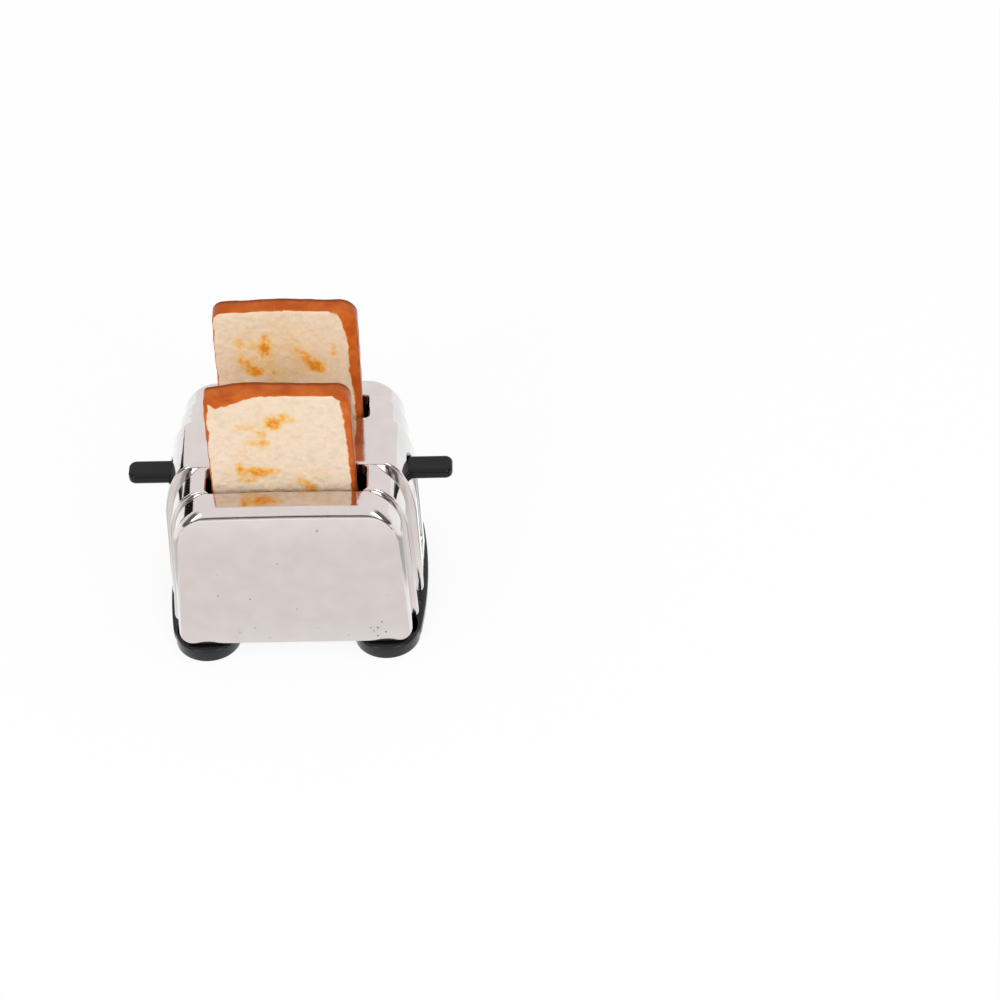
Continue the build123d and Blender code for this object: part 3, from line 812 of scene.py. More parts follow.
@dataclass(frozen=True)
class Casting:
    """Plated body: two closed ends, four slot quarters and the centre band with its lever slots.

    Each layer is an Arch that ends at its own y. soft is the power of the face's rounding, lip how far the flat
    face's top lies under its layer, and fade the length over which the bread slot's rolled edge runs out.
    arch_rows are the rows between the slot and the slab, and face_rings the rings across the face, as shares of its
    size. From the height bend on, the inside of the end wall falls behind the outside by up to lag.
    """

    plating: Finish
    inside: Finish
    centre: Arch = Arch(10.15, 9.95, 15.2, 2.45, 6.1)
    slot: Arch = Arch(9.8, 9.35, 15.08, 2.8, 4.9)
    face: Arch = Arch(9.35, 9.0, 14.95, 3.0, 4.2)
    flat: Arch = Arch(9.1, 8.45, 14.1, 1.8, 2.6, 0.96)
    centre_y: float = 2.65
    slot_y: float = 5.4
    face_y: float = 7.7
    face_run: float = 0.65
    face_wall: float = 1.2
    face_middle: float = 8.2
    arch_rows: tuple[float, ...] = (0.22, 0.6)
    face_rings: tuple[float, ...] = (0.992, 0.96, 0.88, 0.76, 0.6, 0.42, 0.22, 0.0)
    soft: float = 4 / 3
    lip: float = 0.3
    wall: float = 1.3
    roof: float = 1.0
    edge: float = 0.2
    slot_edge: float = 0.16
    slot_half: float = 6.25
    slot_corner: float = 0.35
    fade: float = 0.5
    lever_half: float = 1.15
    lever_low: float = 3.9
    lever_high: float = 14.5
    patch_half: float = 2.3
    patch_low: float = 2.8
    patch_high: float = 15.0
    bend: float = 12.5
    lag: float = 0.4
    post_x: float = 7.2
    post_y: float = 5.65
    post_radius: float = 1.0
    post_low: float = 2.15
    post_high: float = 9.1

    def thick_arch(self, outline: np.ndarray, hollow: np.ndarray) -> tuple[np.ndarray, np.ndarray]:
        """Arch from the bread slot's rim to the back of the face's slab.

        The rim rolls over the slot's edge by r (1 - sin a) down and r (1 - cos a) forward; r runs out past the
        slot's ends.

        Args:
            outline: The face layer's outline, open at its foot.
            hollow: The hollow's outline, with as many points.

        Returns:
            The outer and the inner grid, with a row for each depth.
        """
        near_slot = smooth((self.slot_half + self.fade / 2 - np.abs(outline[:, 0])) / self.fade)
        radius = self.slot_edge * near_slot * (outline[:, 1] > self.face.height)
        rim_sink, advance = (radius * part[:, None] for part in roll(1.0))
        rim_y = -self.slot_y - advance
        straight = np.array([*(-self.slot_y - row for row in self.arch_rows), self.face_wall - self.face_y])
        straight = straight[:, None] + 0 * radius
        arch = lifted(outline, np.concatenate([rim_y, straight]), np.concatenate([rim_sink, 0 * straight]))
        return arch, lifted(hollow, arch[:, :, 1])

    def face_slab(self, outer: np.ndarray, hollow: np.ndarray) -> tuple[np.ndarray, np.ndarray]:
        """Slab of the face, from its back over the rounding to the middle of the flat face.

        The rounding mixes the face layer's outline into the flat one by sin^k a while it comes forward by
        1 - cos^k a; k above 1 makes it flatter than a quarter of an ellipse.

        Args:
            outer: The face layer's outline, closed along its foot.
            hollow: The hollow's outline, closed in the same way.

        Returns:
            The outer grid, and the inner one that closes the hollow behind the face.
        """
        flat = self.flat.roofed(self.flat.whole())
        top = flat[:, 1].max()
        flat[:, 1] = top - (top - flat[:, 1]) * (1 - self.lip / self.flat.height)
        flat = footed(flat)
        middle = np.array([0.0, self.face_middle])
        back, start = -(self.face_y - self.face_wall), -(self.face_y - self.face_run)
        rows = [(outer, y) for y in (back, (back + start) / 2, start + 0.02)]
        rows += [
            (mix(flat, outer, math.sin(a) ** self.soft),
             -(self.face_y - self.face_run * (1 - max(math.cos(a), 0) ** self.soft)))
            for a in quarter(FACE_ROLL)[::-1]]
        rows += [(mix(middle, flat, share), -self.face_y) for share in self.face_rings]
        behind = [(mix(middle, hollow, share), back) for share in np.linspace(1, 0, 6)]
        return tuple(np.stack([upright(line, y) for line, y in lines]) for lines in (rows, behind))

    def end(self) -> Skin:
        """Front end: a thick arch from the bread slot to the face, and the face's slab, closed along its foot.

        Returns:
            The skin of the front end; the back end is its mirror.
        """
        skin = Skin("end", ())
        outline = self.face.roofed(self.face.whole())
        hollow = self.face.inside(self.wall, self.roof).whole(square_foot=True)
        arch, arch_in = self.thick_arch(outline, hollow)
        slab, slab_in = self.face_slab(footed(outline), footed(hollow))
        skin.shell(arch, arch_in, rows=(0,), columns=(0, -1))
        skin.sheet(slab, ring=True)
        skin.sheet(slab_in, 1, ring=True)
        foot = [*range(len(outline) - 1, slab.shape[1]), 0]
        skin.band(slab[0][foot], slab_in[0][foot])
        return skin

    def quarter_outside(self, y: np.ndarray, sink: np.ndarray, stop: np.ndarray) -> np.ndarray:
        """Outside of the front left slot quarter, from its foot over the shoulder to the end of the bread slot.

        The last columns run to x = -(end of the slot at that y), and roll over its edge by r sin a along X and
        r (1 - cos a) down.

        Args:
            y: Depth of each row.
            sink: How far each row lies under the surface.
            stop: Where the slot ends in each row.

        Returns:
            A grid with a row for each depth.
        """
        arch = self.slot
        half = arch.roofed(arch.half())
        before, fall = (part[1:] for part in roll(self.slot_edge))
        shoulder_end = half[-1, 0]
        run = np.linspace(0, 1, 5)[1:]
        run_x = shoulder_end + run * (-(stop[:, None] + self.slot_edge) - shoulder_end)
        x = np.concatenate([run_x, -(stop[:, None] + before)], axis=1)
        z = arch.crowned(x, arch.height + arch.base + 0 * x) - np.concatenate([0 * run, fall]) - sink[:, None]
        return np.concatenate([lifted(half, y, sink), spread(x, y[:, None], z)], axis=1)

    def quarter_inside(self, y: np.ndarray, stop: np.ndarray, columns: int) -> np.ndarray:
        """Inside of the same quarter; its shoulder is cut off where the slot ends.

        Args:
            y: Depth of each row.
            stop: Where the slot ends in each row.
            columns: How many columns the outside has.

        Returns:
            A grid of the same size as the outside.
        """
        arch = self.slot.inside(self.wall, self.roof)
        straight = arch.half(square_foot=True)[:2 * TURN]
        centre_x = arch.high - arch.run
        end_angle = np.arccos(np.clip((stop - centre_x) / arch.run, -1, 1))
        climb = np.linspace(0, 1, columns - len(straight))[None, :] * end_angle[:, None]
        x = -centre_x - arch.run * np.cos(climb)
        z = arch.height + arch.base - arch.rise * (1 - np.sin(climb))
        return np.concatenate([lifted(straight, y), spread(x, y[:, None], z)], axis=1)

    def slot_quarter(self) -> Skin:
        """Front left quarter of the slot layer. The end of the bread slot bends in the slot's corners.

        Returns:
            The skin; the other quarters are its mirrors.
        """
        skin = Skin("slot_quarter", ())
        fall, advance = roll(self.edge)
        plain = np.linspace(-self.slot_y + self.edge + 0.04, -self.centre_y, 14)
        y = np.concatenate([-self.slot_y + advance, plain])
        sink = np.concatenate([fall, 0 * plain])
        width = (self.slot_y - self.centre_y) / 2
        past = np.maximum(np.abs(y + (self.slot_y + self.centre_y) / 2) - (width - self.slot_corner), 0)
        stop = self.slot_half - (self.slot_corner - np.sqrt(np.maximum(self.slot_corner ** 2 - past ** 2, 0)))
        outer = self.quarter_outside(y, sink, stop)
        skin.shell(outer, self.quarter_inside(y, stop, outer.shape[1]), rows=(0, -1), columns=(0, -1))
        return skin

    def side_heights(self) -> np.ndarray:
        """Heights of the stations beside a lever slot.

        Returns:
            Heights from below the slot to above it, close together at its rounded ends.
        """
        low, high = self.lever_low + self.lever_half, self.lever_high - self.lever_half
        return np.concatenate([
            np.linspace(self.patch_low, low, 9)[:-1],
            np.linspace(low, high, 22)[:-1],
            np.linspace(high, self.patch_high, 9)])

    def outer_wall(self, y: np.ndarray | float, z: np.ndarray, sink: np.ndarray | float = 0.0) -> np.ndarray:
        """Left side of the centre band at given heights.

        Up to the shoulder x runs straight from -low to -high. Above, x = -(high - run) - run cos e with
        sin e = (z - start) / rise, and the inward normal of that ellipse is (cos e / run, -sin e / rise).

        Args:
            y: Place from front to back.
            z: Height.
            sink: Distance under the surface.

        Returns:
            Points of the wall.
        """
        arch = self.centre
        sine = np.clip((z - arch.shoulder()) / arch.rise, 0, 1)
        cosine = np.sqrt(1 - sine ** 2)
        x = -(arch.high - arch.run) - arch.run * cosine - arch.draft(z)
        across, down = cosine / arch.run, sine / arch.rise
        size = np.hypot(across, down)
        z = arch.crowned(x, z)
        return spread(x + across / size * sink, y, z - down / size * sink)

    def inner_wall(self, y: np.ndarray | float, z: np.ndarray) -> np.ndarray:
        """Inside of the same wall; its heights fall behind near the top, where the hollow's roof is lower.

        Args:
            y: Place from front to back.
            z: Height.

        Returns:
            Points of the wall.
        """
        arch = self.centre.inside(self.wall, self.roof)
        z = z - self.lag * smooth((z - self.bend) / (self.patch_high - self.bend))
        sine = np.clip((z - arch.shoulder()) / arch.rise, 0, 1)
        x = -(arch.high - arch.run) - arch.run * np.sqrt(1 - sine ** 2) - arch.draft(z)
        return spread(x, y, z)

    def centre_outlines(self) -> tuple[np.ndarray, np.ndarray, int, int]:
        """Outlines of the centre layer, outside and inside, with stations at the same heights beside the slots.

        Returns:
            Both lines from the left foot to the right foot, and the first and last station beside the left slot.
        """
        arch, inner = self.centre, self.centre.inside(self.wall, self.roof)
        shift, rise = roll(arch.corner, TURN)
        foot = np.stack([-arch.low + shift, arch.base + rise], 1)
        foot_in = np.stack([-arch.low + self.wall + 0 * shift, foot[:, 1]], 1)
        heights = self.side_heights()
        side, side_in = self.outer_wall(0.0, heights), self.inner_wall(0.0, heights)
        lines = []
        for shape, below, beside, first, roofed in (
                (arch, foot, side, heights[-1], arch.roofed), (inner, foot_in, side_in, side_in[-1, 2], np.asarray)):
            start = math.asin((first - shape.shoulder()) / shape.rise)
            climb = np.linspace(start, math.pi / 2, CENTRE_SHOULDER + 1)[1:]
            above = roofed(np.stack([
                -(shape.high - shape.run) - shape.run * np.cos(climb),
                shape.shoulder() + shape.rise * np.sin(climb)], 1))
            left = np.concatenate([below, beside[:, [0, 2]], above])
            over = np.linspace(left[-1, 0], -left[-1, 0], 21)[1:-1]
            crown = roofed(np.stack([over, np.full(len(over), shape.height + shape.base)], 1))
            lines.append(np.concatenate([left, crown, left[::-1] * (-1, 1)]))
        return lines[0], lines[1], len(foot), len(foot) + len(heights) - 1

    def lever_patch(self, across: np.ndarray) -> tuple[np.ndarray, np.ndarray]:
        """Patch around the left lever slot.

        It runs from a rectangle to the slot's rounded outline along rays from the nearer end's centre. Close to
        the slot it rolls inwards by r (1 - sin a) while the distance to the slot is r (1 - cos a).

        Args:
            across: Places along Y of the stations over and under the slot.

        Returns:
            The outer and the inner grid, closed around their columns.
        """
        heights, across = self.side_heights(), across[1:-1]
        edge_y = np.concatenate([
            np.full(len(heights), self.patch_half), across[::-1],
            np.full(len(heights), -self.patch_half), across])
        edge_z = np.concatenate([
            heights, np.full(len(across), self.patch_high),
            heights[::-1], np.full(len(across), self.patch_low)])
        centre_z = np.clip(edge_z, self.lever_low + self.lever_half, self.lever_high - self.lever_half)
        reach = np.hypot(edge_y, edge_z - centre_z)
        ray = np.stack([edge_y / reach, (edge_z - centre_z) / reach])
        gap, rolled = reach - self.lever_half, self.slot_edge
        stations = [(gap + (rolled + 0.03 - gap) * share, 0.0) for share in (0.0, 0.45, 0.8)]
        stations.append((0 * gap + rolled + 0.02, 0.0))
        stations += [(0 * gap + away, sink) for sink, away in zip(*(part[::-1] for part in roll(rolled)))]
        rows, rows_in = [], []
        for number, (away, sink) in enumerate(stations):
            far = self.lever_half + away
            rows.append(self.outer_wall(ray[0] * far, centre_z + ray[1] * far, sink))
            far = self.lever_half + gap * (1 - number / (len(stations) - 1))
            rows_in.append(self.inner_wall(ray[0] * far, centre_z + ray[1] * far))
        return np.stack(rows), np.stack(rows_in)

    def centre_band(self) -> Skin:
        """Centre layer: rims, roof and feet on one grid, and a patch around each lever slot.

        Returns:
            The skin of the whole band.
        """
        skin = Skin("centre_band", ())
        whole, whole_in, low, high = self.centre_outlines()
        last = len(whole) - 1
        fall, advance = roll(self.edge)
        rim_y = np.concatenate([-self.centre_y + advance, [-self.patch_half]])
        rim_sink = np.concatenate([fall, [0.0]])
        for sign in (1, -1):
            skin.shell(lifted(whole, rim_y * sign, rim_sink), lifted(whole_in, rim_y * sign),
                       rows=(0,), columns=(0, -1))
        across = np.linspace(-self.patch_half, self.patch_half, 17)
        band, band_in = lifted(whole, across), lifted(whole_in, across)
        for start, stop in ((0, low), (high, last - high), (last - low, last)):
            skin.shell(band[:, start:stop + 1], band_in[:, start:stop + 1])
        for end in (0, -1):
            skin.band(band[:, end], band_in[:, end])
        for sign in (1, -1):
            skin.shell(*(grid * np.array([sign, 1, 1]) for grid in self.lever_patch(across)), rows=(-1,), ring=True)
        return skin

    def posts(self) -> Skin:
        """Four plain posts inside, which take the screws from below.

        Returns:
            The skin of all four.
        """
        skin = Skin("posts", ())
        r, low, high, bevel = self.post_radius, self.post_low, self.post_high, 0.1
        profile = np.array([[0, low], [r, low], [r, high - bevel], [r - bevel, high], [0, high]])
        for centre in product((-self.post_x, self.post_x), (-self.post_y, self.post_y)):
            skin.sheet(turned(profile, centre, 20), 1, ring=True)
        return skin

    def build(self) -> None:
        """Join the parts of the casting into one piece."""
        skin = Skin("plated_body", (self.plating.make(), self.inside.make()))
        end, slot_quarter = self.end(), self.slot_quarter()
        for y in (1, -1):
            skin.join(end, (1, y, 1))
            for x in (1, -1):
                skin.join(slot_quarter, (x, y, 1))
        skin.join(self.centre_band())
        skin.join(self.posts())
        place(skin.piece(), Body.HOUSING, "plated_casting", "body_shell")


# ---------------------------------------------------------------- feet and floor
@dataclass(frozen=True)
class Screw:
    """Foot screw, seen from below: a head with a cross recess, and a shank.

    face is the height of the head's face, seat where the head ends; arm is half the width of the recess's arms,
    whose sides and ends slope over arm_slope and end_slope.
    """

    radius: float = 0.8
    round: float = 0.12
    face: float = 0.15
    seat: float = 0.55
    arm: float = 0.13
    arm_slope: float = 0.05
    arm_length: float = 0.5
    end_slope: float = 0.08
    recess: float = 0.16
    shank_radius: float = 0.4
    shank_high: float = 5.3

    def head(self) -> np.ndarray:
        """Head: a disc whose cross recess sinks by its depth where |x| or |y| is under the arm's half width.

        Returns:
            A closed grid around the head, centred on the axis.
        """
        rings, turn = 20, quarter(5)
        radius = np.concatenate([
            np.linspace(0, self.radius - self.round - 0.06, rings),
            self.radius - self.round + self.round * np.sin(turn), [self.radius, 0.0]])
        height = np.concatenate([
            np.full(rings, self.face), self.face + self.round * (1 - np.cos(turn)), [self.seat, self.seat]])
        grid = turned(np.stack([radius, height], 1), (0, 0), 96)
        x, y = grid[:, :, 0], grid[:, :, 1]
        across = smooth((self.arm - np.minimum(np.abs(x), np.abs(y))) / self.arm_slope)
        along = smooth((self.arm_length - np.hypot(x, y)) / self.end_slope)
        grid[:rings, :, 2] += self.recess * (across * along)[:rings]
        return grid

    def shank(self) -> np.ndarray:
        """Profile of the shank: radius and height, up to its point."""
        r, low, high = self.shank_radius, self.seat - 0.05, self.shank_high
        return np.array([[0, low], [r, low], [r, high - 0.2], [r / 2, high], [0, high]])


@dataclass(frozen=True)
class Feet:
    """Black end feet: a curved skirt and two round pads each, with screw wells.

    reach is the skirt's largest X, sagitta how far it curves back at its ends and taper how much its corners lean
    in; lift is the gap under it. Each pad carries the body at its height and has a well for its screw.
    """

    plastic: Finish
    steel: Finish
    floor: Finish
    screw: Screw = Screw()
    pad_radius: float = 2.65
    pad_x: float = 7.2
    pad_y: float = 5.65
    pad_foot: float = 0.08
    height: float = 1.2
    reach: float = 10.42
    sagitta: float = 0.62
    width: float = 2.3
    lift: float = 0.4
    round: float = 0.18
    skirt_end: float = 6.975
    skirt_corner: float = 1.3
    taper: float = 0.1
    well: float = 0.88
    well_depth: float = 0.55
    well_bevel: float = 0.06

    def arc(self, y: np.ndarray) -> np.ndarray:
        """X of the skirt's outer line: reach less sagitta times (y / end)^2, near enough to a circle."""
        return self.reach - self.sagitta * (y / self.skirt_end) ** 2

    def skirt(self) -> np.ndarray:
        """Skirt of the right foot: a closed section carried along Y.

        The section is a flat strip with rolled outer edges; its outer x follows the arc and turns in on a circle
        towards both ends.

        Returns:
            A grid with a row for each place along Y.
        """
        bend, corner = self.skirt_end - self.skirt_corner, quarter(10)
        y = np.concatenate([
            -bend - self.skirt_corner * np.sin(corner[::-1]), np.linspace(-bend, bend, 41)[1:-1],
            bend + self.skirt_corner * np.sin(corner)])
        past = np.maximum(np.abs(y) - bend, 0)
        outer = self.arc(np.minimum(np.abs(y), bend)) - self.skirt_corner
        outer = outer + np.sqrt(np.maximum(self.skirt_corner ** 2 - past ** 2, 0)) - past * self.taper
        inner, middle = self.arc(y) - self.width, 0.55
        rolled = list(zip(*roll(self.round)))
        stations = [(0, self.lift, 0.0), (middle, self.lift, 0.0)]
        stations += [(1, self.lift + rise, -shift) for shift, rise in rolled]
        stations += [(1, self.height - rise, -shift) for shift, rise in rolled[::-1]]
        stations += [(middle, self.height, 0.0), (0, self.height, 0.0)]
        share, z, shift = (np.array(v) for v in zip(*stations))
        x = inner[:, None] + (outer - inner)[:, None] * share + shift
        return spread(x, y[:, None], z)

    def pad(self) -> np.ndarray:
        """Profile of a pad with its well, from the well's floor out and over the top.

        Returns:
            Radius and height of each station.
        """
        turn, under, over, bevel = quarter(ROLL), self.pad_foot, self.round, self.well_bevel
        well = np.array([[0.0, self.well_depth], [self.well, self.well_depth], [self.well, bevel],
                         [self.well + bevel, 0.0]])
        foot = np.stack([self.pad_radius - under + under * np.sin(turn), under - under * np.cos(turn)], 1)
        rim = np.stack([self.pad_radius - over + over * np.cos(turn), self.height - over + over * np.sin(turn)], 1)
        return np.concatenate([well, foot, rim, [[0.0, self.height]]])

    def build(self, frame: dict) -> None:
        """Make both feet and the screws, and dress the floor plate.

        Args:
            frame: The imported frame.
        """
        plastic = self.plastic.make()
        for name, side in (("left", -1), ("right", 1)):
            skin = Skin(f"black_foot_{name}", (plastic,))
            skirt = self.skirt() * np.array([side, 1, 1])
            skin.sheet(skirt, ring=True)
            skin.cap(skirt[0])
            skin.cap(skirt[-1])
            for y in (-self.pad_y, self.pad_y):
                skin.sheet(turned(self.pad(), (self.pad_x * side, y), 96), ring=True)
            place(skin.piece(), Body.HOUSING, "foot_plastic", f"end_foot_{name}")
        skin = Skin("foot_screw_heads", (self.steel.make(),))
        head = self.screw.head()
        for x, y in product((-self.pad_x, self.pad_x), (-self.pad_y, self.pad_y)):
            skin.sheet(head + np.array([x, y, 0]), ring=True)
            skin.sheet(turned(self.screw.shank(), (x, y), 16), ring=True)
        place(skin.piece(), Body.HOUSING, "screw_steel", "foot_screws")
        dress(frame, "base_plate", self.floor.make())


def dress(frame: dict, node: str, finish: bpy.types.Material) -> None:
    """Give a carried-over solid its material.

    Args:
        frame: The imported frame.
        node: The solid's node.
        finish: The material.
    """
    solid = frame["nodes"][node]
    solid.data.materials.clear()
    solid.data.materials.append(finish)
    LOG.info("%s: dressed as %s", node, finish.name)


# ---------------------------------------------------------------- lift mechanism
@dataclass(frozen=True)
class Lift:
    """Lever bar with the cradle on it, and the post and spring that guide it.

    top and bottom are the bar's faces with the levers up, low_bottom its underside with the levers down; boss is
    the height on which the spring stands. The post's head has a rim and a dome above it, and keeps a small gap over
    the cradle's web. The spring has its free turns and one more at each end, of which flat_turns lie flat.
    """

    enamel: Finish
    steel: Finish
    wire: Finish
    length: float = 25.7
    width: float = 1.9
    corner: float = 0.62
    top: float = 13.7
    bottom: float = 12.75
    low_bottom: float = 4.65
    boss: float = 2.6
    sheet: float = 0.3
    edge: float = 0.3
    hub: float = 1.45
    hole: float = 0.55
    post_radius: float = 0.45
    post_low: float = 1.8
    head_radius: float = 0.85
    head_rim: float = 0.12
    head_rise: float = 0.33
    head_gap: float = 0.05
    rivet_radius: float = 0.3
    rivet_x: float = 1.95
    rivet_head: float = 0.5
    rivet_rise: float = 0.21
    spring_radius: float = 0.8
    spring_wire: float = 0.24
    spring_play: float = 0.02
    turns: float = 6.0
    flat_turns: float = 0.8
    creep: float = 0.06

    def bar(self) -> Skin:
        """Bar around the post's hole: rows go up the hole, out over the top, down the rolled edge and back below.

        The outer line is a rounded rectangle with the hub's circle on it; each of its points shares a ray with a
        point of the hole. The two rolled edges move it in by r (1 - sin a) and up or down by r (1 - cos a).

        Returns:
            The skin of the bar.
        """
        skin = Skin("lever_bar_enamelled", (self.enamel.make(),))
        x, y = self.length / 2, self.width / 2
        corners = np.array([[-x, -y], [x, -y], [x, y], [-x, y]])
        outline = evenly(rounded(corners, np.full(4, self.corner), 12), 720)
        near = np.abs(outline[:, 0]) < self.hub
        reach = np.sqrt(np.maximum(self.hub ** 2 - outline[:, 0] ** 2, 0))
        bulge = np.where(near & (reach > y), reach, np.abs(outline[:, 1]))
        outline[:, 1] = np.sign(outline[:, 1]) * bulge
        angle = np.arctan2(outline[:, 1], outline[:, 0])
        ring = self.hole * np.stack([np.cos(angle), np.sin(angle)], 1)
        face, rim = inset(outline, self.edge + 0.05), inset(outline, self.edge + 0.04)
        rolled = [(inset(outline, depth), drop) for depth, drop in zip(*roll(self.edge))]
        rows = [(ring, self.bottom), (ring, self.top)]
        rows += [(mix(ring, face, share), self.top) for share in (0.3, 0.7)]
        rows += [(rim, self.top)]
        rows += [(line, self.top - drop) for line, drop in rolled]
        rows += [(line, self.bottom + climb) for line, climb in rolled[::-1]]
        rows += [(rim, self.bottom), (mix(ring, face, 0.5), self.bottom), (ring, self.bottom)]
        skin.sheet(np.stack([spread(line[:, 0], line[:, 1], z) for line, z in rows]), ring=True)
        return skin

    def spring(self) -> Skin:
        """Coil spring: a circle of wire carried along a helix whose end turns lie almost flat.

        Height rises evenly along the free turns, and by a small share, creep, along the whole length.

        Returns:
            The skin of the spring.
        """
        skin = Skin("lift_spring_wire", (self.wire.make(),))
        clear = self.spring_wire / 2 + self.spring_play
        low, high = self.boss + clear, self.bottom - clear
        share = np.linspace(0, 1, 520)
        turn = 2 * np.pi * (self.turns + 2) * share
        flat = self.flat_turns / (self.turns + 2)
        rise = np.clip((share - flat) / (1 - 2 * flat), 0, 1) * (1 - self.creep) + share * self.creep
        path = spread(self.spring_radius * np.cos(turn), self.spring_radius * np.sin(turn), low + (high - low) * rise)
        tangent = np.gradient(path, axis=0)
        tangent /= np.linalg.norm(tangent, axis=1, keepdims=True)
        out = spread(np.cos(turn), np.sin(turn), 0.0)
        up = np.cross(out, tangent)
        around = np.linspace(0, 2 * np.pi, 12, endpoint=False)[None, :, None]
        grid = path[:, None] + self.spring_wire / 2 * (out[:, None] * np.cos(around) + up[:, None] * np.sin(around))
        skin.sheet(grid, ring=True)
        skin.cap(grid[0])
        skin.cap(grid[-1])
        return skin

    def pins(self) -> tuple[np.ndarray, np.ndarray]:
        """Profiles of the guide post, from its foot to its domed head, and of a rivet, from head to head.

        Returns:
            Radius and height of each station of the post, and of the rivet.
        """
        dome, web = quarter(DOME), self.top + self.sheet
        under = web + self.head_gap
        head = np.stack([self.head_radius * np.cos(dome), web + self.head_rim + self.head_rise * np.sin(dome)], 1)
        pin = [[0, self.post_low], [self.post_radius, self.post_low], [self.post_radius, under],
               [self.head_radius - 0.05, under]]
        cap = np.stack([self.rivet_head * np.cos(dome), self.rivet_rise * np.sin(dome)], 1)
        lower = np.array([1, -1]) * cap[::-1] + np.array([0, self.bottom])
        shank = [[self.rivet_radius, self.bottom], [self.rivet_radius, web]]
        return np.concatenate([pin, head]), np.concatenate([lower, shank, cap + np.array([0, web])])

    def build(self, frame: dict) -> None:
        """Make the bar, post, rivets and spring, and dress the cradle.

        Args:
            frame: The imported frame.
        """
        place(self.bar().piece(), Body.CARRIAGE, "lever_enamel", "lever_bar")
        steel = self.steel.make()
        post, rivet = self.pins()
        skin = Skin("guide_post_pin", (steel,))
        skin.sheet(turned(post, (0, 0), 64), ring=True)
        place(skin.piece(), Body.HOUSING, "bright_steel", "guide_post")
        skin = Skin("cradle_rivet_heads", (steel,))
        for x in (-self.rivet_x, self.rivet_x):
            skin.sheet(turned(rivet, (x, 0), 40), ring=True)
        place(skin.piece(), Body.CARRIAGE, "bright_steel", "cradle_rivets")
        spring = self.spring().piece()
        place(spring, Body.HOUSING, "spring_steel", "lift_spring")
        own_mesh(spring)
        dress(frame, "bread_cradle", steel)


# ---------------------------------------------------------------- toast
@dataclass(frozen=True)
class Dab:
    """A dab of paint on the crumb: place from the slice's lower middle, half widths and strength."""

    x: float
    z: float
    wide: float
    tall: float
    strength: float = 1.0


